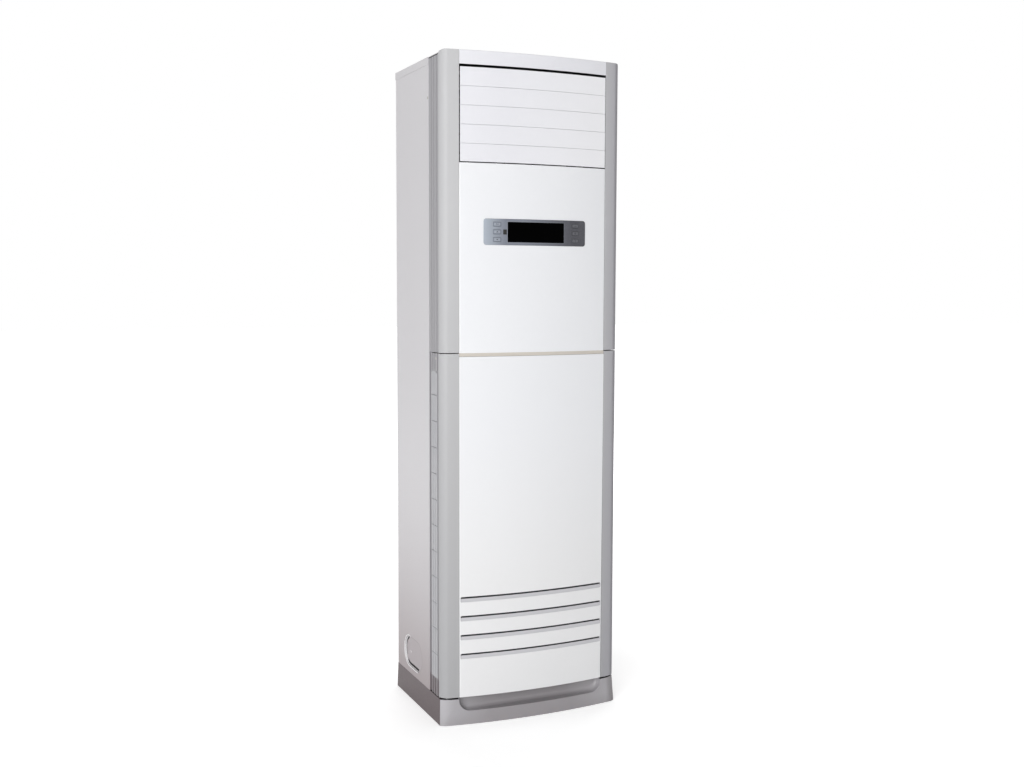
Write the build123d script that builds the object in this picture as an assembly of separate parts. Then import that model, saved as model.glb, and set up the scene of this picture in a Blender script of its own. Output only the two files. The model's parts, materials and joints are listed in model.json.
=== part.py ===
from build123d import *
import math
import os

# Floor standing air conditioner cabinet, in millimetres.
# X to the right, Y to the back, Z up. The origin is under the middle of the whole.

# ---- Overall sizes -------------------------------------------------------
CABINET_WIDTH = 540.0        # across the foot of the plinth
SIDE_DEPTH = 360.0           # from the front corner line to the back
FRONT_BOW = 40.0             # how far the bowed front stands out past that line
BOW_RISE = 23.9              # height of the bow's arc over the body's full width
CORNER_RADIUS = 25.0         # rounding of the two front corners
BODY_INSET = 2.5             # body narrower than the plinth's foot, each side
PILLAR_FACE = 49.0           # width of a corner pillar, seen from the front

# ---- The stack, from the floor up ----------------------------------------
PLINTH_HEIGHT = 72.0
PLINTH_GAP = 6.0             # dark gap between plinth and body
LOWER_PANEL_HEIGHT = 936.6
SEAM_HEIGHT = 9.8            # strip between the two front panels
UPPER_PANEL_HEIGHT = 506.6
BLADE_COUNT = 5
BLADE_PITCH = 50.0
BLADE_GAP = 1.0              # daylight between two closed blades
BLADE_FOOT_GAP = 3.0         # daylight under the lowest closed blade
BLADE_LIP = 2.5              # a blade's lip stands up behind the next blade
BLADE_LIP_THICK = 1.2
BLADE_LIP_GAP = 0.5          # between the lip and the next blade's back
OUTLET_TOP_GAP = 7.0         # dark gap over the top blade
HEADER_HEIGHT = 37.0
COVER_STEP = 6.0             # steel roof below the top of the front frame

# ---- Walls and clearances ------------------------------------------------
PLASTIC = 3.0                # moulded walls
SHEET = 1.2                  # steel sheet
SEAT = 0.3                   # between two fixed pieces that meet on a curve
SHADOW_GAP = 0.4             # between a front panel and a pillar
SEAM_GAP = 0.6               # between the lower panel and the seam strip
RUN_FIT = 0.05               # round a turning pin, on the radius
SLIDE_FIT = 0.3              # round a sliding piece

# ---- Plinth --------------------------------------------------------------
PLINTH_DRAFT = 3.0           # each side, from the foot to the top
PLINTH_CORNER_X = 39.0       # the skirt's rounded corner at its top, along X
PLINTH_CORNER_Y = 21.0       # and along Y
PLINTH_FOOT_CORNER_X = 20.0  # the tighter corner at its foot, along X
PLINTH_FOOT_CORNER_Y = 11.0  # and along Y
SCOOP_FLOOR = 37.5           # height of the hand scoop's floor
SCOOP_RADIUS = 32.0
SCOOP_DEPTH = 38.0
PAN_WALL = 2.0
ANCHOR_RADIUS = 6.0
ANCHOR_SPACING_X = 400.0
ANCHOR_SPACING_Y = 260.0
ANCHOR_BACK = 20.0           # middle of the four holes behind the middle of the whole

# ---- Front panels --------------------------------------------------------
SLOT_COUNT = 4
SLOT_PITCH = 52.7
SLOT_ABOVE_BODY = 121.8      # lowest slot over the lower edge of the body
SLOT_OPEN = 4.6
SLOT_SLOPE = 11.0            # height of the sloped face under a slot
SLOT_REACH = 7.0             # depth of a slot
SLOT_END_RADIUS = 4.0
SLOT_MARGIN = 3.0            # from a slot's end to the panel's edge
LEDGE_WIDTH = 4.0            # pillar's ledge behind the panel's edge
PILLAR_SEAM = 2.5            # dark gap between upper and lower pillars
TOP_CORNER_RADIUS = 10.0     # outer top corners, seen from the front
TIP_AXIS_BACK = 34.0         # tipping axis of the lower front, behind the bow's apex
TIP_AXIS_UP = 2.0            # and over the lower edge of the body
TIP_PIN_RADIUS = 3.0

# ---- Display -------------------------------------------------------------
BEZEL_WIDTH = 304.0
BEZEL_HEIGHT = 70.0
BEZEL_ABOVE_SEAM = 290.1     # lower edge over the seam strip's top
BEZEL_RADIUS = 7.5
BEZEL_PROUD = 0.8
BEZEL_DEPTH = 4.0
LENS_MARGIN_X = 67.5         # from the bezel's ends to the window
LENS_MARGIN_Z = 7.7
LENS_DEPTH = 1.5
BUTTON_WIDTH = 23.0
BUTTON_HEIGHT = 12.5
BUTTON_PITCH = 20.5
BUTTON_PROUD = 1.4
BUTTON_TRAVEL = 0.8
BUTTON_LEFT_IN = 37.5        # middle of the left keys from the bezel's end
BUTTON_RIGHT_IN = 32.0       # and of the right ones
BUTTON_DEPTH = 5.0
EYE_ASIDE = 7.5              # middle of the remote control's eye beside the window
EYE_WIDTH = 10.0
EYE_HEIGHT = 13.2
BOARD_THICK = 1.6

# ---- Side strips and grilles ---------------------------------------------
STRIP_WIDTH = 75.7
STRIP_RECESS = 1.5
STRIP_THICK = 4.0
UPPER_GROOVES = ((15.0, 6.0), (38.4, 5.0), (55.0, 6.0))   # middle from the front edge, width
LOWER_GROOVES = ((10.5, 7.0), (32.0, 6.0), (48.0, 6.0), (66.5, 14.0))
UPPER_GROOVE_DEPTH = 1.0
LOWER_GROOVE_DEPTH = 2.5
STRIP_SEAM_DEPTH = 57.0      # how far back the seam's gap runs into the strip
STRIP_FOOT = 1.5             # lower strip's end over the plinth
GRILLE_FRONT = 14.4          # from the strip's front edge to the grille
GRILLE_WIDTH = 44.0
GRILLE_ABOVE_BODY = 46.0     # grille's lower end over the body's lower edge
GRILLE_TOP_ROOM = 41.6       # and its upper end under the top of the lower panel
GRILLE_CELLS = 12
GRILLE_TOP_CELL = 12.6       # top cell shorter than the others
GRILLE_CUT = 1.6             # height of the cuts across the slats
GRILLE_SLATS = 3
GRILLE_RIB = 3.5             # groove between two slats
GRILLE_PROUD = 1.0

# ---- Steel cabinet -------------------------------------------------------
FOLD = 12.0                  # folded rear edges of the sheets
FRONT_FOLD = 18.0            # and the front ones, which carry the strips
COVER_LIP = 20.0
KNOCKOUT_LENGTH = 154.0
KNOCKOUT_HEIGHT = 88.0
KNOCKOUT_BACK = 137.0        # middle of the knock-out, in front of the back
KNOCKOUT_UP = 64.0           # and over the plinth
KNOCKOUT_SLIT = 6.0
KNOCKOUT_DEPTH = 4.8         # the plate lies behind the steel side
KNOCKOUT_WALL = 1.2          # wall of the pressed dish
KNOCKOUT_WEB = 11.0          # small web across the slit
KNOCKOUT_CUT = 37.0          # the slit runs so far in front of the plate's middle
SCREW_RADIUS = 2.0
SCREW_HEAD = 4.0
SCREW_ROWS = 5
WALL_HOLE_RADIUS = 4.0
WALL_HOLE_SPACING = 120.0
WALL_PLATE_BELOW_TOP = 70.0

# ---- Louvres -------------------------------------------------------------
BLADE_THICK = 3.0
BLADE_END_GAP = 1.8
PIVOT_BACK = 28.0            # blades' axis behind the bow's apex
PIVOT_PIN = 2.0
CRANK = 16.0
CRANK_PIN = 1.5
LINK_THICK = 3.0
MOTOR_SETBACK = 32.0         # louvre motor behind the blades' axis
STEPPER_RADIUS = 14.0
STEPPER_LENGTH = 16.0
CEILING_ROOM = 14.0          # duct ceiling over the top blade
DUCT_DEPTH = 120.0
VANE_COUNT = 4
VANE_SIDE_ROOM = 55.0        # from the duct's cheeks to the outer vanes
VANE_THICK = 2.5
VANE_AHEAD = 22.0
VANE_BEHIND = 38.0
VANE_AXIS_BACK = 110.0       # vanes' axis behind the bow's apex

# ---- Air path inside -----------------------------------------------------
FILTER_BACK = 53.0           # back of the filter behind the bow's apex
FILTER_THICK = 5.0
FILTER_BAR = 12.0
FILTER_BOTTOM = 28.0         # over the body's lower edge
FILTER_TOP_ROOM = 53.6       # under the top of the lower panel
FILTER_LIFT = 55.0
PARTITION_BACK = 80.0        # face of the inlet partition behind the bow's apex
PARTITION_TOP_ROOM = 14.6    # under the top of the lower panel
WHEEL_UP = 322.0             # wheel's axis over the body's lower edge
SCROLL_SIDE_ROOM = 18.0
SCROLL_STEP = 14.0           # growth of the scroll in a quarter turn
SCROLL_WALL = 2.0
TONGUE_GAP = 15.0
WHEEL_ROOM = 11.0            # between wheel and scroll, front and back
WHEEL_BLADES = 36
WHEEL_BLADE_CHORD = 34.0
HUB_RADIUS = 22.0
SHAFT_RADIUS = 6.0
DECK_UP = 642.0              # fan deck over the body's lower edge
OUTLET_WIDTH = 176.0
MOTOR_RADIUS = 70.0
MOTOR_LENGTH = 86.0
MOTOR_STAND = 8.0
MOTOR_REAR_ROOM = 52.0

# ---- Cooling coil --------------------------------------------------------
COIL_HEIGHT = 430.0
COIL_DEPTH = 44.0
COIL_BACK_ROOM = 60.0        # from the coil's head to the back panel
COIL_FRONT = 118.0           # foot of the coil behind the bow's apex
COIL_UP = 22.0               # foot of the coil over the seam strip
COIL_SIDE_ROOM = 44.0
FIN_COUNT = 56
FIN_THICK = 0.6
TUBE_RADIUS = 4.75
TUBE_PITCH = 38.0
TUBE_ROWS = 2
ROW_PITCH = 22.0
TUBE_STUB = 4.0              # open tube ends past the end plate
TRAY_HEIGHT = 35.0
TRAY_DEPTH = 96.0
GAS_RADIUS = 8.0
LIQUID_RADIUS = 4.75
HOSE_RADIUS = 9.0
HOSE_WALL = 1.5
HOSE_X = -180.0
PIPE_BEND = 18.0
BOX_HEIGHT = 190.0
BOX_DEPTH = 44.0
BOX_HALF = 170.0
BOX_ABOVE_SEAM = 36.0

# ---- Places that follow from the sizes above -----------------------------
BACK_Y = (SIDE_DEPTH + FRONT_BOW + BEZEL_PROUD) / 2
APEX_Y = BACK_Y - SIDE_DEPTH - FRONT_BOW
CORNER_Y = APEX_Y + FRONT_BOW
BODY_HALF = CABINET_WIDTH / 2 - BODY_INSET
FRONT_RADIUS = (BODY_HALF ** 2 + BOW_RISE ** 2) / (2 * BOW_RISE)
PANEL_HALF = BODY_HALF - PILLAR_FACE
BOW_AXIS_Y = APEX_Y + FRONT_RADIUS
BODY_Z = PLINTH_HEIGHT + PLINTH_GAP
LOWER_TOP = BODY_Z + LOWER_PANEL_HEIGHT
SEAM_TOP = LOWER_TOP + SEAM_HEIGHT
SILL_Z = SEAM_TOP + UPPER_PANEL_HEIGHT
BLADE_BASE = SILL_Z + BLADE_GAP / 2
BLADES_TOP = SILL_Z + BLADE_COUNT * BLADE_PITCH
OUTLET_TOP = BLADES_TOP + OUTLET_TOP_GAP
TOP_Z = OUTLET_TOP + HEADER_HEIGHT
ROOF_Z = TOP_Z - COVER_STEP
STEEL_HALF = BODY_HALF - 0.5
INNER_HALF = STEEL_HALF - SHEET
REAR_FACE = BACK_Y - SHEET
PIVOT_Y = APEX_Y + PIVOT_BACK
CHEEK_IN = PANEL_HALF
CHEEK_OUT = PANEL_HALF + PLASTIC
BLADE_HALF = PANEL_HALF - BLADE_END_GAP
DUCT_FRONT_Y = APEX_Y + 34.0
DUCT_BACK_Y = DUCT_FRONT_Y + DUCT_DEPTH
CEILING_Z = BLADES_TOP + CEILING_ROOM
FLOOR_TOP = SILL_Z - PLASTIC
VANE_AXIS_Y = APEX_Y + VANE_AXIS_BACK
PARTITION_Y = APEX_Y + PARTITION_BACK
PARTITION_TOP = LOWER_TOP - PARTITION_TOP_ROOM
SCROLL_FRONT = PARTITION_Y + 1.5 + SEAT
SCROLL_BACK = BACK_Y - MOTOR_REAR_ROOM - MOTOR_LENGTH - MOTOR_STAND
WHEEL_Z = BODY_Z + WHEEL_UP
DECK_Z = BODY_Z + DECK_UP
SCROLL_REACH = INNER_HALF - SCROLL_SIDE_ROOM
SCROLL_START = SCROLL_REACH - 3.5 * SCROLL_STEP
WHEEL_RADIUS = SCROLL_START - TONGUE_GAP
INLET_RADIUS = WHEEL_RADIUS - WHEEL_BLADE_CHORD
TIP_Y = APEX_Y + TIP_AXIS_BACK
TIP_Z = BODY_Z + TIP_AXIS_UP
BEZEL_Z = SEAM_TOP + BEZEL_ABOVE_SEAM + BEZEL_HEIGHT / 2
LENS_WIDTH = BEZEL_WIDTH - 2 * LENS_MARGIN_X
LENS_HEIGHT = BEZEL_HEIGHT - 2 * LENS_MARGIN_Z
BUTTON_LEFT_X = BUTTON_LEFT_IN - BEZEL_WIDTH / 2
BUTTON_RIGHT_X = BEZEL_WIDTH / 2 - BUTTON_RIGHT_IN
EYE_X = -LENS_WIDTH / 2 - EYE_ASIDE
BOARD_Y = APEX_Y + 12.5


COIL_REACH = REAR_FACE - SHEET - COIL_BACK_ROOM - (APEX_Y + COIL_FRONT + COIL_DEPTH / 2)
COIL_HEAD = COIL_DEPTH / 2 + 3
COIL_TILT = math.degrees(
    math.asin(COIL_REACH / math.hypot(COIL_HEIGHT, COIL_HEAD)) - math.atan2(COIL_HEAD, COIL_HEIGHT)
)


# ---- Helpers -------------------------------------------------------------
def block(x0, x1, y0, y1, z0, z1):
    """A box between two corners."""
    centre = Pos((x0 + x1) / 2, (y0 + y1) / 2, (z0 + z1) / 2)
    return centre * Box(abs(x1 - x0), abs(y1 - y0), abs(z1 - z0))


def rod_x(x0, x1, y, z, radius):
    """A rod along X."""
    return Pos((x0 + x1) / 2, y, z) * Rot(0, 90, 0) * Cylinder(radius, abs(x1 - x0))


def rod_y(x, y0, y1, z, radius):
    """A rod along Y."""
    return Pos(x, (y0 + y1) / 2, z) * Rot(90, 0, 0) * Cylinder(radius, abs(y1 - y0))


def rod_z(x, y, z0, z1, radius):
    """A rod along Z."""
    return Pos(x, y, (z0 + z1) / 2) * Cylinder(radius, abs(z1 - z0))


def flipped(piece):
    """The same piece on the other side of the cabinet."""
    return mirror(piece, about=Plane.YZ)


def sag(x):
    """How far the bowed front has fallen back at X."""
    return FRONT_RADIUS - math.sqrt(FRONT_RADIUS ** 2 - x ** 2)


def corner_centre_y(inset=0.0):
    """Where a front corner's rounding ends on the side, along Y."""
    half = BODY_HALF - inset
    corner = CORNER_RADIUS - inset
    run = (FRONT_RADIUS - inset - corner) ** 2 - (half - corner) ** 2
    return BOW_AXIS_Y - math.sqrt(run)


PILLAR_BACK = corner_centre_y()
STRIP_FRONT = PILLAR_BACK + SEAT
STRIP_BACK = PILLAR_BACK + STRIP_WIDTH


def plan(inset=0.0):
    """The body seen from above, its outline moved inwards: bow, corners and sides."""
    half = BODY_HALF - inset
    disc = Pos(0, BOW_AXIS_Y) * Circle(FRONT_RADIUS - inset)
    depth = BACK_Y - APEX_Y + 20
    sides = Pos(0, BACK_Y - depth / 2) * Rectangle(2 * half, depth)
    outline = disc & sides
    front = outline.vertices().sort_by(Axis.Y)[:2]
    return fillet(front, CORNER_RADIUS - inset)


def bowed(points, half):
    """A profile of (depth behind the front face, height) points, swept along the bow."""
    reach = math.degrees(math.asin((half + 6) / FRONT_RADIUS))
    outline = [(FRONT_RADIUS - depth, height) for depth, height in points]
    face = make_face(Plane.XZ * Polyline(*outline, close=True))
    ring = revolve(face, Axis.Z, revolution_arc=2 * reach)
    swept = Pos(0, BOW_AXIS_Y) * Rot(0, 0, -90 - reach) * ring
    low = min(height for _, height in points)
    high = max(height for _, height in points)
    return swept & block(-half, half, APEX_Y - 20, BOW_AXIS_Y, low - 1, high + 1)


def bowed_band(half, front, back, z0, z1):
    """A plain bowed plate between two depths."""
    return bowed([(front, z0), (back, z0), (back, z1), (front, z1)], half)


def front_prism(width, height, radius, x, z):
    """A rounded rectangle seen from the front, run through the front wall."""
    shape = Plane.XZ * Pos(x, z) * RectangleRounded(width, height, radius)
    return Pos(0, APEX_Y + 60) * extrude(shape, amount=80)


def tube(points, bends, radius, wall=0.0):
    """A pipe along straight runs with round bends."""
    path = FilletPolyline(*points, radius=bends)
    section = Plane(origin=path @ 0, z_dir=path % 0)
    solid = sweep(section * Circle(radius), path=path)
    if wall > 0:
        solid = solid - sweep(section * Circle(radius - wall), path=path)
    return solid


# ---- Plinth and base -----------------------------------------------------
def skirt_outline(inset, corner_x, corner_reach):
    """Front skirt seen from above, narrower by the inset, with its corners' size along X and Y."""
    half = CABINET_WIDTH / 2 - inset
    arc_x = half - corner_x
    top_y = APEX_Y + inset
    arc_y = top_y + sag(arc_x)
    corner_y = arc_y + corner_reach - inset
    turn_x = half - corner_x * 0.42
    turn_y = arc_y + corner_reach * 0.36
    lines = [
        ThreePointArc((-half, corner_y), (-turn_x, turn_y), (-arc_x, arc_y)),
        ThreePointArc((-arc_x, arc_y), (0, top_y), (arc_x, arc_y)),
        ThreePointArc((arc_x, arc_y), (turn_x, turn_y), (half, corner_y)),
        Line((half, corner_y), (half, CORNER_Y + 0.5)),
        Line((half, CORNER_Y + 0.5), (-half, CORNER_Y + 0.5)),
        Line((-half, CORNER_Y + 0.5), (-half, corner_y)),
    ]
    return make_face(lines)


def skirt_solid(inset):
    """The skirt as a full block, drawn in and rounder towards the top."""
    foot = skirt_outline(inset, PLINTH_FOOT_CORNER_X, PLINTH_FOOT_CORNER_Y)
    top = Pos(0, 0, PLINTH_HEIGHT) * skirt_outline(inset + PLINTH_DRAFT, PLINTH_CORNER_X, PLINTH_CORNER_Y)
    return loft([foot, top], ruled=True)


def scoop_tool(grow):
    """The hollow of the hand scoop, made larger by a wall."""
    half = PANEL_HALF + grow
    floor = SCOOP_FLOOR - grow
    top = PLINTH_HEIGHT + 40
    middle = (floor + top) / 2
    shape = Plane.XZ * Pos(0, middle) * RectangleRounded(2 * half, top - floor, SCOOP_RADIUS + grow)
    back = APEX_Y + SCOOP_DEPTH + grow
    tool = Pos(0, back) * extrude(shape, amount=SCOOP_DEPTH + 30)
    rear = tool.edges().filter_by_position(Axis.Y, back - 0.01, back + 0.01)
    return fillet(rear, 12.0 + grow)


def plinth_front():
    """Moulded skirt with its hand scoop, top flange and the two hinge blocks."""
    outer = skirt_solid(0.0)
    hollow = skirt_solid(PLASTIC)
    room = block(-BODY_HALF * 2, BODY_HALF * 2, APEX_Y - 30, CORNER_Y + 5, -1, PLINTH_HEIGHT - PLASTIC)
    reach = BODY_HALF - 5
    back_cut = block(-reach, reach, CORNER_Y - 2, CORNER_Y + 5, -1, PLINTH_HEIGHT - PLASTIC)
    shell = outer - (hollow & room) - back_cut
    tub = scoop_tool(PLASTIC) & outer
    shell = (shell + tub) - scoop_tool(0.0)
    for side in (-1, 1):
        x0 = side * (PANEL_HALF + 19.5)
        x1 = side * (PANEL_HALF + 31.5)
        lug = block(x0, x1, TIP_Y - 5.5, TIP_Y + 5.5, PLINTH_HEIGHT - 1, TIP_Z + 6)
        bore = rod_x(x0 - side * 2, x1 + side * 2, TIP_Y, TIP_Z, TIP_PIN_RADIUS + RUN_FIT)
        shell = shell + (lug - bore)
        shell = shell - rod_x(x0 - side * 16, x0, TIP_Y, TIP_Z, TIP_PIN_RADIUS + 1.5)
    return shell


def base_pan():
    """Drafted steel pan with the four floor anchor holes."""
    half = CABINET_WIDTH / 2
    front = CORNER_Y + 0.8
    middle = (front + BACK_Y) / 2
    depth = BACK_Y - front
    foot = Pos(0, middle) * Rectangle(2 * half, depth)
    top = Pos(0, middle, PLINTH_HEIGHT) * Rectangle(2 * (half - PLINTH_DRAFT), depth)
    outer = loft([foot, top])
    low_half = half - PAN_WALL
    high_half = low_half - PLINTH_DRAFT
    inner_foot = Pos(0, middle, PAN_WALL) * Rectangle(2 * low_half, depth - 2 * PAN_WALL)
    inner_top = Pos(0, middle, PLINTH_HEIGHT + 1) * Rectangle(2 * high_half, depth - 2 * PAN_WALL)
    pan = outer - loft([inner_foot, inner_top])
    for x in (-ANCHOR_SPACING_X / 2, ANCHOR_SPACING_X / 2):
        for y in (-ANCHOR_SPACING_Y / 2, ANCHOR_SPACING_Y / 2):
            pan = pan - rod_z(x, y + ANCHOR_BACK, -1, PAN_WALL + 1, ANCHOR_RADIUS)
    return pan


# ---- Front frame ---------------------------------------------------------
def pillar_shell(z0, z1):
    """The right-hand corner pillar between two heights."""
    ring = plan() - plan(PLASTIC)
    width = BODY_HALF + 10 - PANEL_HALF - SHADOW_GAP
    depth = PILLAR_BACK - APEX_Y + 10
    x_mid = PANEL_HALF + SHADOW_GAP + width / 2
    window = Pos(x_mid, PILLAR_BACK - depth / 2) * Rectangle(width, depth)
    return Pos(0, 0, z0) * extrude(ring & window, amount=z1 - z0)


def pillar_ledge(z0, z1):
    """Strip on the right-hand pillar that the front panel's edge lies on."""
    band = bowed_band(PANEL_HALF + 6, PLASTIC, PLASTIC + 2.5, z0, z1)
    return band & block(PANEL_HALF - LEDGE_WIDTH, PANEL_HALF + 6, APEX_Y, BACK_Y, z0, z1)


def upper_block(inset):
    """The upper front frame as a full block with rounded top corners, its skin moved inwards."""
    low = SEAM_TOP + 0.6
    high = TOP_Z - inset
    below = low - 60
    shape = Plane.XZ * Pos(0, (below + high) / 2) * RectangleRounded(
        2 * (BODY_HALF - inset), high - below, TOP_CORNER_RADIUS - inset
    )
    front_view = Pos(0, APEX_Y + 200) * extrude(shape, amount=240)
    return (Pos(0, 0, low) * extrude(plan(inset), amount=high - low)) & front_view


def upper_pillar():
    """Right-hand upper pillar, closed at the top."""
    window = block(
        PANEL_HALF + SHADOW_GAP, BODY_HALF + 10, APEX_Y - 10, PILLAR_BACK, SEAM_TOP, TOP_Z + 10
    )
    body = (upper_block(0.0) - upper_block(PLASTIC)) & window
    return body + pillar_ledge(SEAM_TOP + 6, FLOOR_TOP - PLASTIC)


def lower_pillar():
    """Right-hand lower pillar with the pin it tips on."""
    top = SEAM_TOP + 0.6 - PILLAR_SEAM
    body = pillar_shell(BODY_Z, top)
    ledge = pillar_ledge(BODY_Z + 6, LOWER_TOP - 6)
    x0 = PANEL_HALF + 9
    x1 = PANEL_HALF + 18.5
    front = APEX_Y + sag(x0) + 1.5
    lug = block(x0, x1, front, TIP_Y + 5, BODY_Z, TIP_Z + 12)
    pin = rod_x(x1 - 1, PANEL_HALF + 31, TIP_Y, TIP_Z, TIP_PIN_RADIUS)
    return body + ledge + lug + pin


def outlet_header():
    """Bowed cap over the outlet."""
    top = TOP_Z
    profile = [
        (0, OUTLET_TOP), (PLASTIC, OUTLET_TOP), (PLASTIC, top - PLASTIC),
        (FRONT_BOW + 14, top - PLASTIC), (FRONT_BOW + 14, top), (1.5, top), (0, top - 1.5),
    ]
    return bowed(profile, PANEL_HALF)


def upper_front_panel():
    """Bowed upper panel with the display's opening and its sill flange."""
    z0 = SEAM_TOP
    profile = [
        (0, z0), (14, z0), (14, z0 + 2.5), (PLASTIC, z0 + 2.5), (PLASTIC, SILL_Z - PLASTIC),
        (36, SILL_Z - PLASTIC), (36, SILL_Z), (0, SILL_Z),
    ]
    panel = bowed(profile, PANEL_HALF)
    hole = front_prism(BEZEL_WIDTH + 2 * SEAT, BEZEL_HEIGHT + 2 * SEAT, BEZEL_RADIUS + SEAT, 0, BEZEL_Z)
    return panel - hole


def seam_strip():
    """Thin strip between the upper and the lower panel."""
    return bowed_band(PANEL_HALF, 0.4, 12, LOWER_TOP + SEAM_GAP, SEAM_TOP)


def slot_tool(z):
    """The cut of one intake slot, with its sloped lower face."""
    low = z - SLOT_OPEN - SLOT_SLOPE
    points = [
        (-2, z), (SLOT_REACH + 4, z), (SLOT_REACH + 4, z - SLOT_OPEN),
        (SLOT_REACH - 2.5, z - SLOT_OPEN), (0, low), (-2, low),
    ]
    half = PANEL_HALF - SLOT_MARGIN
    ends = front_prism(2 * half, z - low + 0.02, SLOT_END_RADIUS, 0, (z + low) / 2)
    return bowed(points, half) & ends


def slot_back(z):
    """The thicker wall behind one intake slot."""
    low = z - SLOT_OPEN - SLOT_SLOPE - 4
    points = [
        (PLASTIC - 0.5, z - SLOT_OPEN), (SLOT_REACH, z - SLOT_OPEN),
        (SLOT_REACH, z - SLOT_OPEN - 3), (PLASTIC, low), (PLASTIC - 0.5, low),
    ]
    return bowed(points, PANEL_HALF - LEDGE_WIDTH - SEAT)


def lower_front_panel():
    """Bowed lower panel with its intake slots."""
    z0 = BODY_Z
    profile = [
        (0, z0), (18, z0), (18, z0 + 2.5), (PLASTIC, z0 + 2.5), (PLASTIC, LOWER_TOP - 2.5),
        (14, LOWER_TOP - 2.5), (14, LOWER_TOP), (0, LOWER_TOP),
    ]
    panel = bowed(profile, PANEL_HALF)
    for index in range(SLOT_COUNT):
        z = BODY_Z + SLOT_ABOVE_BODY + index * SLOT_PITCH
        panel = panel + slot_back(z)
    for index in range(SLOT_COUNT):
        z = BODY_Z + SLOT_ABOVE_BODY + index * SLOT_PITCH
        panel = panel - slot_tool(z)
    return panel


# ---- Display -------------------------------------------------------------
def button_places():
    """Name, X and Z of each key."""
    places = []
    for label, x in (("left", BUTTON_LEFT_X), ("right", BUTTON_RIGHT_X)):
        for row in range(3):
            z = BEZEL_Z + (1 - row) * BUTTON_PITCH
            places.append((f"button_{label}_{row + 1}", x, z))
    return places


def display_bezel():
    """Rounded bezel with pockets for the windows and openings for the keys."""
    low = BEZEL_Z - BEZEL_HEIGHT / 2
    high = BEZEL_Z + BEZEL_HEIGHT / 2
    plate = bowed_band(BEZEL_WIDTH / 2, -BEZEL_PROUD, BEZEL_DEPTH, low, high)
    plate = plate & front_prism(BEZEL_WIDTH, BEZEL_HEIGHT, BEZEL_RADIUS, 0, BEZEL_Z)
    pocket = bowed_band(BEZEL_WIDTH / 2, -5, LENS_DEPTH - BEZEL_PROUD, low, high)
    lens_cut = front_prism(LENS_WIDTH + 2 * SEAT, LENS_HEIGHT + 2 * SEAT, 2.0, 0, BEZEL_Z)
    eye_cut = front_prism(EYE_WIDTH + 2 * SEAT, EYE_HEIGHT + 2 * SEAT, 1.5, EYE_X, BEZEL_Z)
    plate = plate - (pocket & lens_cut) - (pocket & eye_cut)
    for _, x, z in button_places():
        wide = BUTTON_WIDTH + 2 * SLIDE_FIT
        high_cut = BUTTON_HEIGHT + 2 * SLIDE_FIT
        plate = plate - front_prism(wide, high_cut, 2.0 + SLIDE_FIT, x, z)
    for x in (-BEZEL_WIDTH / 2 + 12, -60, 60, BEZEL_WIDTH / 2 - 12):
        front = APEX_Y + sag(x) + BEZEL_DEPTH - 0.5
        plate = plate + rod_y(x, front, BOARD_Y + 8, BEZEL_Z, 3.0)
    return plate


def display_windows():
    """Dark display window and the smaller eye beside it."""
    low = BEZEL_Z - BEZEL_HEIGHT / 2
    high = BEZEL_Z + BEZEL_HEIGHT / 2
    sheet = bowed_band(BEZEL_WIDTH / 2, -BEZEL_PROUD + 0.2, LENS_DEPTH - BEZEL_PROUD, low, high)
    lens = sheet & front_prism(LENS_WIDTH, LENS_HEIGHT, 1.7, 0, BEZEL_Z)
    eye = sheet & front_prism(EYE_WIDTH, EYE_HEIGHT, 1.2, EYE_X, BEZEL_Z)
    return Compound(children=[lens.solid(), eye.solid()])


def button(x, z):
    """One key, with the bow of the bezel in its face."""
    low = z - BUTTON_HEIGHT / 2
    high = z + BUTTON_HEIGHT / 2
    plate = bowed_band(BEZEL_WIDTH / 2, -BUTTON_PROUD, BUTTON_DEPTH, low, high)
    return plate & front_prism(BUTTON_WIDTH, BUTTON_HEIGHT, 2.0, x, z)


def display_board():
    """Circuit board on the bezel's four posts."""
    y0 = BOARD_Y + 8
    low = BEZEL_Z - BEZEL_HEIGHT / 2 + 4
    high = BEZEL_Z + BEZEL_HEIGHT / 2 - 4
    board = block(-BEZEL_WIDTH / 2 + 4, BEZEL_WIDTH / 2 - 4, y0, y0 + BOARD_THICK, low, high)
    driver = block(-LENS_WIDTH / 2 + 30, LENS_WIDTH / 2 - 30, y0 - 6, y0 + 0.5, low + 8, high - 8)
    return board + driver


# ---- Side strips ---------------------------------------------------------
def grille_span():
    """Lower and upper end of a side grille."""
    return BODY_Z + GRILLE_ABOVE_BODY, LOWER_TOP - GRILLE_TOP_ROOM


def strip_bar(z0, z1, grooves, depth):
    """Right-hand strip between two heights, with upright grooves in its face."""
    outer = BODY_HALF - STRIP_RECESS
    bar = block(outer - STRIP_THICK, outer, STRIP_FRONT, STRIP_BACK, z0, z1)
    for middle, width in grooves:
        y = STRIP_FRONT + middle
        bar = bar - block(outer - depth, outer + 1, y - width / 2, y + width / 2, z0 - 1, z1 + 1)
    return bar


def upper_strip():
    """Right-hand grooved strip between the upper pillar and the steel."""
    bar = strip_bar(SEAM_TOP + 0.6, ROOF_Z - 2.0, UPPER_GROOVES, UPPER_GROOVE_DEPTH)
    return side_screw_holes(bar)


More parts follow.
